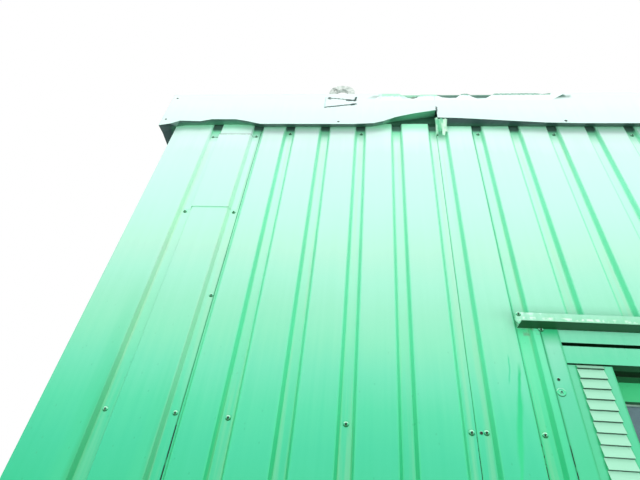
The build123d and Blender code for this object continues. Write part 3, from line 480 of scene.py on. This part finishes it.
dripPaint = paintedSheet("green_drip_flashing_painted_light", {
    # paler upwards as painted glare; the step at 2062 paints a highlight along the top edge, and faces that
    # look down get painted shade
    "open": [
        (0, "#3cb47e"), (1019, "#3fc088"), (2030, "#88d2aa"), (2041, "#94d8b8"), (2058, "#9cdcbe"),
        (2062, "#dcfff0"), (2243, "#c3f7e0"),
    ],
    "shaded": [(0, "#1f9a5e"), (2800, "#3fc98a")], "fringe": noFringe, "bend": 0.6, "down": "#003c10",
    "wear": [
        (2029.0, 2037.0, 846.0, 1890.0, "#e6f8ea", 0.7, 9.0),
        (2015.0, 2031.0, 828.0, 846.0, "#f6f8ee", 0.9, 60.0),
        (2015.0, 2031.0, 828.0, 846.0, "#f6f8ee", 0.9, 14.0),
    ],
})
# paler upwards as painted glare; painted shade under the head flashing, in the fringe, and on faces that look
# down
trimPaint = paintedSheet("green_jamb_trim_painted_light", {
    "open": [
        (0, "#2e9a68"), (1019, "#33a876"), (1789, "#3ebf8b"), (1900, "#58c69c"), (1999, "#80d4b2"),
        (2040, "#8ed6b8"),
    ],
    "shaded": [(0, "#1f9a5e"), (2800, "#3dc588")], "fringe": (1995.0, 2024.0), "down": "#136b3c",
})
# painted shade on its flanks, on faces that look down and inside its housing; paler upwards as painted glare
trackPaint = paintedSheet("green_powder_coat_shutter_track", {
    "open": [(0, "#52c898"), (1975, "#60cca0"), (2031, "#7cd6b0")],
    "shaded": [(0, "#2fae74"), (2800, "#2fae74")],
    "fringe": noFringe, "down": "#053414", "bend": 0.8, "deepShade": (30.0, 40.0, "#0a4420"),
})
# painted highlight on louvre faces that look up, painted shade on those that look down and on flanks; paler
# upwards as painted glare
shutterPaint = paintedSheet("green_powder_coat_shutter", {
    "open": [(0, "#2ea06c"), (1000, "#34ae78"), (1800, "#4bc18f"), (1960, "#64c89e")],
    "shaded": [(0, "#1f9a5e"), (2800, "#2fb878")], "fringe": noFringe, "bend": 0.5,
    "up": "#a3e3c3", "down": "#06341c",
})
# painted shade on flanks and on faces that look down; paler upwards as painted glare
joineryPaint = paintedSheet("green_powder_coat_joinery", {
    "open": [(0, "#2c9a66"), (1000, "#2fa36c"), (2000, "#3cbf7c"), (2800, "#46c98a")],
    "shaded": [(0, "#1f7a4c"), (2800, "#1f8a54")], "fringe": noFringe, "down": "#0f5a34",
    "rough": 0.05, "bend": 1.0,
})
print("painted sheet made")


# what plain finishes share unless they say otherwise; sizes are in millimetres
plain = {
    "mix": (0.4, 0.65), "stretch": (1.0, 1.0, 1.0), "metallic": 0.0, "roughSpread": 0.08, "rustEdge": 0.08,
    "reliefDepth": 0.5,
}


# a finish of two colours in a noise, with roughness and relief to match, and some with rust over
# it: its colour, size and the noise from which it shows
def plainFinish(name, ownLook):
    look = {**plain, **ownLook}
    material = newMaterial(name)
    add = partial(addNode, material)
    place = add("TexCoord", {}).outputs["Object"]
    mapped = add("Mapping", {"Scale": look["stretch"]}, Vector=place)
    grain = add("TexNoise", {"Scale": 1000 / look["size"], "Detail": 6.0}, Vector=mapped)
    low, high = look["mix"]
    mask = add("MapRange", {"From Min": low, "From Max": high}, Value=grain)
    tone = add("Mix", {"data_type": "RGBA", 6: look["colour"], 7: look["second"]}, i0=mask)
    if "rust" in look:
        colour, size, start = look["rust"]
        blotch = add("TexNoise", {"Scale": 1000 / size, "Detail": 7.0, "Roughness": 0.7}, Vector=place)
        rusty = add("MapRange", {"From Min": start, "From Max": start + look["rustEdge"]}, Value=blotch)
        tone = add("Mix", {"data_type": "RGBA", 7: colour}, i0=rusty, i6=tone)
    low, high = look["roughness"] - look["roughSpread"], look["roughness"] + look["roughSpread"]
    rough = add("MapRange", {"To Min": low, "To Max": high}, Value=grain)
    relief = add("Bump", {"Strength": look["bump"], "Distance": look["reliefDepth"] * mm}, Height=grain)
    shader = add(
        "BsdfPrincipled", {"Metallic": look["metallic"]}, Base_Color=tone, Roughness=rough, Normal=relief
    )
    add("OutputMaterial", {}, Surface=shader)
    return material


# alkyd enamel brushed over hot-rolled channel: a dull dark green, rust at its edges
framePaint = plainFinish("brushed_enamel_base_frame", {
    "colour": "#24523d", "second": "#2f5f49", "size": 40.0, "roughness": 0.55, "bump": 0.2,
    "rust": ("#7a4a28", 180.0, 0.6),
})
# hot-dip galvanised sheet: crystals of zinc, dulled by weather
galvanised = plainFinish("hot_dip_galvanised_roof", {
    "colour": "#a9b0b0", "second": "#8b9494", "size": 22.0, "roughness": 0.45, "metallic": 0.85, "bump": 0.05,
    "rust": ("#8c8372", 300.0, 0.58),
})
# flame-cut steel plate under old paint, worn to a pale scale
liftingSteel = plainFinish("weathered_painted_steel_plate", {
    "colour": "#dfe8e2", "second": "#b4c2ba", "size": 14.0, "roughness": 0.6, "bump": 0.4,
    "rust": ("#5c665e", 38.0, 0.56),
})
# melamine-faced board: an even off-white with a soft sheen
lining = plainFinish("melamine_faced_lining", {
    "colour": "#d8d4c8", "second": "#cfcabc", "size": 250.0, "roughness": 0.45, "bump": 0.02,
})
# film-faced plywood: a brown film, scuffed along the grain
deckBoard = plainFinish("film_faced_plywood", {
    "colour": "#5a4330", "second": "#6e543b", "size": 160.0, "roughness": 0.55, "bump": 0.1,
    "stretch": (1, 14, 14),
})
# satin anodised aluminium: a fine brushed grain
handleMetal = plainFinish("satin_anodised_aluminium", {
    "colour": "#b4b7ba", "second": "#a7aaad", "size": 3.0, "roughness": 0.32, "metallic": 1.0, "bump": 0.03,
    "stretch": (1, 1, 0.05),
})
# steel mandrel left in a blind rivet: nearly black, rusted
mandrelSteel = plainFinish("rusted_rivet_mandrel", {
    "colour": "#0c1a14", "second": "#2a1c12", "size": 1.5, "roughness": 0.7, "bump": 0.2,
})
# torn film tape: thin and whitish, wrinkled along its length
tornTape = plainFinish("torn_sealing_tape", {
    "colour": "#cdeed8", "second": "#6cc79a", "size": 9.0, "roughness": 0.5, "bump": 0.2, "mix": (0.4, 0.6),
    "stretch": (1, 1, 0.1),
})
# extruded rubber glazing gasket: grey-green with chalk and dust
gasketRubber = plainFinish("dusty_rubber_gasket", {
    "colour": "#6f8f80", "second": "#88a596", "size": 8.0, "roughness": 0.65, "bump": 0.1,
})

# green beads along the laps that stand for painted shade there: darker low down and paler up the height as
# painted glare, black in ragged spots low down
shadeBeadLook = {
    "stops": [(0.0, "#14663c"), (0.62, "#238c58"), (0.70, "#3aa878"), (0.85, "#52b488"), (1.0, "#62c098")],
    "splitSize": 14.0, "splitFade": (1890.0, 1790.0), "splitMore": (-0.25, 0.08), "splitShare": (0.5, 0.54),
    "splitColour": "#04140b", "roughness": 0.6,
}
shadeBead = newMaterial("green_lap_shade_bead")
add = partial(addNode, shadeBead)
place = add("TexCoord", {}).outputs["Object"]
height = add("SeparateXYZ", {}, Vector=place).outputs["Z"]
share = add("Math", {"operation": "DIVIDE", 1: roofTop}, i0=height)
tone = add("ValToRGB", {"stops": shadeBeadLook["stops"]}, Fac=share)
split = add("TexNoise", {"Scale": 1000 / shadeBeadLook["splitSize"], "Detail": 4.0}, Vector=place)
(high, low), (least, most) = shadeBeadLook["splitFade"], shadeBeadLook["splitMore"]
lowDown = add(
    "MapRange", {"From Min": high * mm, "From Max": low * mm, "To Min": least, "To Max": most}, Value=height
)
split = add("Math", {"operation": "ADD"}, i0=split, i1=lowDown)
low, high = shadeBeadLook["splitShare"]
split = add("MapRange", {"From Min": low, "From Max": high}, Value=split)
tone = add("Mix", {"data_type": "RGBA", 7: shadeBeadLook["splitColour"]}, i0=split, i6=tone)
shader = add("BsdfPrincipled", {"Roughness": shadeBeadLook["roughness"]}, Base_Color=tone)
add("OutputMaterial", {}, Surface=shader)

# float glass, with a film of dust that scatters some light
glassLook = {
    "glass": "#b9d8cf", "roughness": 0.03, "dust": "#84a8b4", "dustRoughness": 0.7, "dustSize": 120.0,
    "dustShare": {"From Min": 0.3, "From Max": 0.75, "To Min": 0.25, "To Max": 0.45},
}
glass = newMaterial("dusty_float_glass")
add = partial(addNode, glass)
place = add("TexCoord", {}).outputs["Object"]
cloud = add("TexNoise", {"Scale": 1000 / glassLook["dustSize"], "Detail": 6.0}, Vector=place)
amount = add("MapRange", glassLook["dustShare"], Value=cloud)
dust = add("BsdfPrincipled", {"Base Color": glassLook["dust"], "Roughness": glassLook["dustRoughness"]})
clear = add("BsdfPrincipled", {
    "Base Color": glassLook["glass"], "Transmission Weight": 1.0, "IOR": 1.45,
    "Roughness": glassLook["roughness"],
})
blend = add("MixShader", {}, i0=amount, i1=clear, i2=dust)
add("OutputMaterial", {}, Surface=blend)
print("plain finishes made")

finishes = {
    "green_cladding": claddingPaint,
    "green_flashing": dripPaint,
    "green_shutter": shutterPaint,
    "green_joinery": joineryPaint,
    "frame_paint": framePaint,
    "galvanised_steel": galvanised,
    "lifting_steel": liftingSteel,
    "panel_lining": lining,
    "deck_board": deckBoard,
    "window_glass": glass,
    "handle_metal": handleMetal,
}
special = {  # pieces whose paint differs from the rest of their slot in wear, dirt and painted light
    "cladding_corner": cornerPaint, "corner_patch": cornerPaint, "cladding_infill": infillPaint,
    "fascia": roofEdgePaint, "jamb_trims": trimPaint, "window_sill": trimPaint, "shutter_track": trackPaint,
}
slotOf = {part["node"]: part["material_slot"] for part in frame["record"]["subparts"]}
for name, node in nodes.items():
    paints = [paint for start, paint in special.items() if name.startswith(start)]
    material = paints[0] if paints else finishes[slotOf[name]]
    node.data.materials.clear()
    node.data.materials.append(material)
print("materials given to", len(nodes), "nodes")

# new pieces: each is one mesh in place, and rides on the cabin


# a closed round shape from a half outline of radius and height
def turned(outline, steps):
    shape = bmesh.new()
    points = [shape.verts.new((radius * mm, 0.0, height * mm)) for radius, height in outline]
    lines = [shape.edges.new(pair) for pair in zip(points, points[1:])]
    bmesh.ops.spin(
        shape, geom=points + lines, cent=(0, 0, 0), axis=(0, 0, 1), dvec=(0, 0, 0),
        angle=2 * pi, steps=steps, use_merge=True, use_duplicate=False,
    )
    bmesh.ops.remove_doubles(shape, verts=shape.verts, dist=0.01 * mm)
    bmesh.ops.recalc_face_normals(shape, faces=shape.faces)
    return shape


# the mesh of one fastening, dark inside a radius, for placing many times
def fastening(outline, steps, darkRadius):
    shape = turned(outline, steps)
    for face in shape.faces:
        face.smooth = True
        middle = face.calc_center_median()
        outside = middle.z > 0 and face.normal.z > 0
        face.material_index = int(outside and middle.xy.length < darkRadius * mm)
    mesh = bpy.data.meshes.new("fastening")
    shape.to_mesh(mesh)
    shape.free()
    return mesh


# a piece from a bmesh that already lies in its place
def finished(name, materials, shape):
    mesh = bpy.data.meshes.new(name)
    shape.to_mesh(mesh)
    shape.free()
    for material in materials:
        mesh.materials.append(material)
    piece = bpy.data.objects.new(name, mesh)
    scene.collection.objects.link(piece)
    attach(piece, body)
    return piece


# a piece from many placed copies of meshes
def joined(name, materials, placed):
    shape = bmesh.new()
    for mesh, place in placed:
        before = len(shape.verts)
        shape.from_mesh(mesh)
        shape.verts.ensure_lookup_table()
        bmesh.ops.transform(shape, matrix=place, verts=shape.verts[before:])
    return finished(name, materials, shape)


# blind rivets of 4.8 mm with a dome head, flush ones for the roof edge, larger ones, and the hole
# of one that fell out: outline of radius and height, steps round it, radius of its dark middle
fastenings = {
    "dome": ([(0, -0.5), (4.9, -0.5), (4.8, 0.4), (4.0, 1.7), (2.2, 2.3), (1.8, 0.7), (0, 0.6)], 12, 1.9),
    "flat": ([(0, -0.5), (4.2, -0.5), (4.1, 0.05), (2.4, 0.16), (0, 0.12)], 12, 3.7),
    "large": ([
        (0, -0.5), (7.8, -0.5), (7.6, 0.7), (6.6, 1.2), (3.4, 1.5), (2.9, 2.4), (1.6, 2.4), (1.3, 0.8),
        (0, 0.7),
    ], 20, 1.5),
    "hole": ([(0, -0.5), (3.6, -0.5), (3.3, 0.3), (2.6, 0.45), (2.3, 0.15), (0, 0.15)], 12, 2.5),
}
dome, flat, large, hole = [fastening(*look) for look in fastenings.values()]
rivets = {
    "rows": (150.0, 1836.0, 2656.0),     # heights
    "groove": 9.0,                       # depth that they sit at
    "pitch": 100.0,                      # from groove to groove
    "every": 2,                          # groove
    "stray": 2.5,                        # hand drilling
    "corner": [121.5, 246.5],            # the corner sheet's grooves
    "joint": [338.0, 538.0, 740.9, 764.9],
    "jointTop": [338.0, 538.0, 750.0],   # in the top row, where the corner patch has its own
    "middleFrom": 856.5, "backFrom": 338.0, "endFrom": 110.0,  # first grooves
    "backCount": 14,
    "atEdge": 0.1,                       # depth in the roof edge
    "edgePitch": 600.0,
    "edgeRows": (2662.0, 2668.0),        # heights in turn
}


# the grooves that have rivets, from one groove to another
def evenly(first, last):
    steps = round((last - first) / rivets["pitch"])
    return [first + (last - first) * i / steps for i in range(steps + 1)][::rivets["every"]]


groove = rivets["groove"]
middleRow = evenly(rivets["middleFrom"], (length - rivets["pitch"]) / 2)
endRow = evenly(rivets["endFrom"], width - rivets["endFrom"])
backRow = evenly(rivets["backFrom"], length - rivets["backFrom"])[:rivets["backCount"]]
rivetPlaces = {
    "front": rivets["corner"] + rivets["joint"] + middleRow,
    "back": rivets["corner"] + backRow,
    "left": endRow,
    "right": endRow,
}
# along and height that stay free: the windows and the door with their trims
openings = [(830.0, 975.0, 1900.0, 2075.0), (2440.0, 0.0, 3560.0, 2250.0)]
# along, depth behind the groove and height
extraRivets = [
    (hole, 754.5, 0, 1835.0), (dome, 248.0, 0, 2085.0), (dome, 853.8, 1, 1838.0), (dome, 122.5, -1, 2331.0),
    (dome, 243.5, -1, 2331.0), (dome, 118.5, -1, 2638.0), (dome, 244.0, -1, 2641.0),
]
chance = Random(7)
for wall, places in rivetPlaces.items():
    placed = []
    for height in rivets["rows"]:
        if wall == "front" and height == rivets["rows"][-1]:
            places = rivets["jointTop"] + middleRow
        for along in places:
            for spot in ((along, length - along) if wall in ("front", "back") else (along,)):
                drilledAlong = spot + chance.uniform(-1, 1) * rivets["stray"]
                drilledHeight = height + chance.uniform(-1, 1) * rivets["stray"]
                twist = Matrix.Rotation(chance.uniform(0, 2 * pi), 4, "Z")
                fromEnd = min(spot, length - spot)
                if wall == "front" and any(
                    left < fromEnd < right and foot < height < top for left, foot, right, top in openings
                ):
                    continue
                placed.append((dome, onWall(wall, drilledAlong, groove, drilledHeight) @ twist))
    if wall == "front":
        placed += [
            (mesh, onWall(wall, along, groove + behind, height))
            for mesh, along, behind, height in extraRivets
        ]
    joined("blind_rivets_" + wall, [rivetPaint, mandrelSteel], placed)
print("blind rivets placed")

# fastenings of the trims and flashings round the left window, mirrored on the right one
trimFastenings = [
    (dome, 840.8, -29.7, 2041.0), (dome, 1863.0, -29.7, 2041.0), (large, 892.4, 0.0, 1907.6),
    (hole, 893.5, 0.0, 1931.0), (large, 892.4, 0.0, 1150.0), (large, 1832.0, 0.0, 1907.6),
    (large, 1832.0, 0.0, 1150.0), (dome, 886.0, 0.0, 2029.0), (dome, 1080.0, -27.0, 1003.0),
    (dome, 1640.0, -27.0, 1003.0),
]
rightOnes = [(mesh, length - along, depth, height) for mesh, along, depth, height in trimFastenings]
placed = [
    (mesh, onWall("front", along, depth, height))
    for mesh, along, depth, height in trimFastenings + rightOnes
]
joined("trim_fastenings", [rivetPaint, mandrelSteel], placed)

# flush rivets in the roof edge: along and height on the front, and evenly on the other walls
edgeRivets = [
    (-18, 2780), (-20, 2668), (477, 2656), (1078, 2661), (1600, 2660), (2200, 2660), (2716, 2770),
    (2755, 2770), (3400, 2660), (4000, 2660), (4600, 2660), (5200, 2660), (5750, 2660), (6018, 2780),
    (6018, 2668),
]
edgeDepth = rivets["atEdge"] - fasciaProud
placed = [(flat, onWall("front", along, edgeDepth, height)) for along, height in edgeRivets]
for wall in ("left", "right", "back"):
    span = wallSpan[wall]
    count = round(span / rivets["edgePitch"])
    for i in range(count):
        placed.append((flat, onWall(wall, span * (i + 0.5) / count, edgeDepth, rivets["edgeRows"][i % 2])))
joined("roof_edge_rivets", [galvanised, mandrelSteel], placed)
print("trim and roof-edge fastenings placed")

# beads beside the upper sheet's edge of each lap that stand for painted shade along it: wall, edge, side of
# it on which the bead lies, depth of the lower sheet's face, radius, foot and top
beads = {"foot": 123.0, "top": 2660.0, "step": 60.0, "stray": 0.25, "sides": 8}
tall = (beads["foot"], beads["top"])
laps = [
    ("back", 2085.9, -1, 1.0, 0.8, *tall), ("front", 252.5, 1, 10.0, 0.9, *tall),
    ("back", 252.5, 1, 10.0, 0.9, *tall), ("front", 747.5, -1, 10.0, 0.5, *tall),
    ("front", 840.7, 1, 1.0, 0.9, *tall), ("front", 1893.2, -1, 1.0, 0.8, *tall),
    ("front", 884.5, -1, 0.0, 0.7, 1019.0, 2024.0),
]
laps += [(wall, length - along, -side, *rest) for wall, along, side, *rest in laps]
for wall in ("left", "right"):
    laps += [(wall, 60.0, 1, 1.0, 0.8, *tall), (wall, width - 60.0, -1, 1.0, 0.8, *tall)]

shape = bmesh.new()
for wall, along, side, depth, radius, foot, top in laps:
    before = len(shape.verts)
    bmesh.ops.create_cone(
        shape, cap_ends=True, segments=beads["sides"], radius1=radius * mm, radius2=radius * mm,
        depth=(top - foot) * mm,
    )
    shape.verts.ensure_lookup_table()
    edges = {edge for vert in shape.verts[before:] for edge in vert.link_edges}
    upright = [edge for edge in sorted(edges, key=lambda edge: edge.index) if edge.calc_length() > 0.1]
    cuts = round((top - foot) / beads["step"])
    bmesh.ops.subdivide_edges(shape, edges=upright, cuts=cuts, use_grid_fill=True)
    shape.verts.ensure_lookup_table()
    rings = {}
    for vert in shape.verts[before:]:
        rings.setdefault(round(vert.co.z / mm), []).append(vert)
    for level in sorted(rings):
        sideways = chance.uniform(-1, 1) * beads["stray"] * mm
        outwards = chance.uniform(0, 0.5) * beads["stray"] * mm
        bmesh.ops.translate(shape, verts=rings[level], vec=(sideways, outwards, 0.0))
    stand = onWall(wall, along + side * radius, depth, (foot + top) / 2) @ Matrix.Rotation(-pi / 2, 4, "X")
    bmesh.ops.transform(shape, matrix=stand, verts=shape.verts[before:])
for face in shape.faces:
    face.smooth = len(face.verts) == 4
finished("lap_shade_beads", [shadeBead], shape)

# tape left hanging from the first joint of the roof edge: one torn strip with three pleats
tape = {
    "along": 757.0, "depth": -29.0, "top": 2680.0, "foot": 2632.0, "wide": 34.0, "inward": 17.0,
    "thickness": 0.4, "pleat": 2.6, "pleats": 3, "narrowing": 0.1, "torn": (0.2, 0.1),
}
shape = bmesh.new()
bmesh.ops.create_grid(shape, x_segments=24, y_segments=14, size=0.5)
for vert in shape.verts:
    sideways, down = vert.co.x, 0.5 - vert.co.y
    coarse, fine = tape["torn"]
    torn = down * (1.0 + coarse * sin(11 * sideways) + fine * sin(37 * sideways) * down)
    narrowing = 1.0 - tape["narrowing"] * sin(pi * down)
    pleat = tape["pleat"] * cos(2 * tape["pleats"] * pi * sideways) * (0.6 + 0.5 * down)
    vert.co = (
        sideways * tape["wide"] * narrowing * mm, -(tape["top"] - tape["foot"]) * torn * mm,
        (pleat - tape["inward"] * down) * mm,
    )
bmesh.ops.solidify(shape, geom=shape.faces[:], thickness=tape["thickness"] * mm)
bmesh.ops.recalc_face_normals(shape, faces=shape.faces)
hanging = onWall("front", tape["along"], tape["depth"], tape["top"])
bmesh.ops.transform(shape, matrix=hanging, verts=shape.verts)
for face in shape.faces:
    face.smooth = True
finished("torn_tape", [tornTape], shape)
print("lap sealant and torn tape made")

# glazing gaskets: a rubber frame round each light, in front of the glass
gaskets = {
    "width": 5.0, "proud": 3.0, "lap": 11.0,  # lap: of the glass behind the frame
    "mullion": 22.0, "rounding": 1.0,
}
lap = gaskets["lap"] * mm
shape = bmesh.new()
for side in ("left", "right"):
    low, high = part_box("window_glass_" + side)
    middle = (low.x + high.x) / 2
    mullion = gaskets["mullion"] / 2 * mm
    for left, right in ((low.x, middle - mullion), (middle + mullion, high.x)):
        before = len(shape.verts)
        bmesh.ops.create_grid(shape, x_segments=1, y_segments=1, size=0.5)
        shape.verts.ensure_lookup_table()
        size = (right - left - 2 * lap, high.z - low.z - 2 * lap, 1.0)
        bmesh.ops.scale(shape, vec=size, verts=shape.verts[before:])
        pane = shape.verts[before].link_faces[0]
        rim = bmesh.ops.inset_region(
            shape, faces=[pane], thickness=gaskets["width"] * mm, use_boundary=True
        )["faces"]
        bmesh.ops.delete(shape, geom=[pane], context="FACES")
        raised = bmesh.ops.extrude_face_region(shape, geom=rim)["geom"]
        raised = [part for part in raised if isinstance(part, bmesh.types.BMVert)]
        bmesh.ops.translate(shape, vec=(0, 0, gaskets["proud"] * mm), verts=raised)
        shape.verts.ensure_lookup_table()
        place = Matrix.Translation(((left + right) / 2, low.y, (low.z + high.z) / 2))
        place = place @ Matrix.Rotation(pi / 2, 4, "X")
        bmesh.ops.transform(shape, matrix=place, verts=shape.verts[before:])
bmesh.ops.recalc_face_normals(shape, faces=shape.faces)
piece = finished("glazing_gaskets", [gasketRubber], shape)
rounding = piece.modifiers.new("rounding", "BEVEL")
rounding.width, rounding.segments, rounding.limit_method = gaskets["rounding"] * mm, 2, "ANGLE"
print("glazing gaskets made")

# camera: it stands close in front of the wall and looks up at the roof edge
eyePoint = {
    "along": 565.4, "out": 777.6, "height": 1519.0, "lens": 27.0, "sensor": 36.0, "nearest": 10.0,
    # columns: its right, up and back
    "sight": ((0.99481, -0.02495, 0.09865), (0.05529, -0.68132, -0.72996), (0.08542, 0.73162, -0.6764)),
}
camera = bpy.data.objects.new("camera", bpy.data.cameras.new("camera"))
camera.data.lens = eyePoint["lens"]
camera.data.sensor_width = eyePoint["sensor"]
camera.data.clip_start = eyePoint["nearest"] * mm
camera.matrix_world = Matrix.Translation(
    (wallLeft + eyePoint["along"] * mm, wallFront - eyePoint["out"] * mm, eyePoint["height"] * mm)
) @ Matrix(eyePoint["sight"]).to_4x4()
scene.collection.objects.link(camera)
scene.camera = camera

# studio: an even white sky, a pale floor, four softboxes low enough to light the eaves, and a
# reflector that lies on the floor in front
middle = (0.0, 0.0, roofTop / 2)
studio = {
    "sky": 0.58, "floorSize": 60.0, "floorFade": {"From Min": 6.5, "From Max": 9.0},
    "floorColour": "#c8cac9", "floorSeen": "#f2f4f3",
    "lamps": {  # place, width and height, power, and what each is aimed at
        "front_softbox": ((-2.0, -9.5, 1.9), (9.0, 3.4), 262.0, middle),
        "front_reflector": ((-0.5, -3.9, 0.02), (11.0, 2.4), 228.0, (-0.5, -3.9, 9.0)),
        "back_softbox": ((2.0, 9.5, 1.9), (9.0, 3.4), 320.0, middle),
        "left_softbox": ((-10.0, 1.0, 1.9), (6.0, 3.4), 320.0, middle),
        "right_softbox": ((10.0, 0.0, 1.9), (6.0, 3.4), 320.0, middle),
    },
}
floorMesh = bpy.data.meshes.new("floor")
shape = bmesh.new()
bmesh.ops.create_circle(shape, cap_ends=True, radius=studio["floorSize"], segments=96)
shape.to_mesh(floorMesh)
shape.free()
floor = bpy.data.objects.new("floor", floorMesh)
scene.collection.objects.link(floor)

# the floor takes the cabin's shadow, and fades to white further out where it is seen
floorPaint = newMaterial("pale_studio_floor")
add = partial(addNode, floorPaint)
place = add("TexCoord", {}).outputs["Object"]
reach = add("VectorMath", {"operation": "LENGTH"}, i0=place).outputs["Value"]
fade = add("MapRange", {"interpolation_type": "SMOOTHSTEP", **studio["floorFade"]}, Value=reach)
seen = add("LightPath", {}).outputs["Is Camera Ray"]
seenFade = add("Math", {"operation": "MULTIPLY"}, i0=fade, i1=seen)
tone = add("Mix", {"data_type": "RGBA", 6: studio["floorColour"], 7: studio["floorSeen"]}, i0=seen)
ground = add("BsdfDiffuse", {}, Color=tone)
glow = add("Emission", {"Strength": 1.0, "Color": "#ffffff"})
blend = add("MixShader", {}, i0=seenFade, i1=ground, i2=glow)
add("OutputMaterial", {}, Surface=blend)
floorMesh.materials.append(floorPaint)

# the sky lights the cabin evenly, and is plain white where it is seen, mirrored or looked through to
world = bpy.data.worlds.new("white_studio")
scene.world = world
world.use_nodes = True
world.node_tree.nodes.clear()
add = partial(addNode, world)
paths = add("LightPath", {}).outputs
mirrored = add("Math", {"operation": "MAXIMUM"}, i0=paths["Is Glossy Ray"], i1=paths["Is Transmission Ray"])
shown = add("Math", {"operation": "MAXIMUM"}, i0=paths["Is Camera Ray"], i1=mirrored)
level = add("MapRange", {"To Min": studio["sky"], "To Max": 1.0}, Value=shown)
sky = add("Background", {"Color": "#ffffff"}, Strength=level)
add("OutputWorld", {}, Surface=sky)

for name, (place, size, power, target) in studio["lamps"].items():
    lamp = bpy.data.lights.new(name, "AREA")
    lamp.shape, lamp.size, lamp.size_y, lamp.energy = "RECTANGLE", size[0], size[1], power
    panel = bpy.data.objects.new(name, lamp)
    aim = Vector(target) - Vector(place)
    panel.matrix_world = Matrix.Translation(place) @ aim.to_track_quat("-Z", "Y").to_matrix().to_4x4()
    panel.visible_camera = False
    scene.collection.objects.link(panel)
scene.view_settings.view_transform = "Standard"
print("stage set")
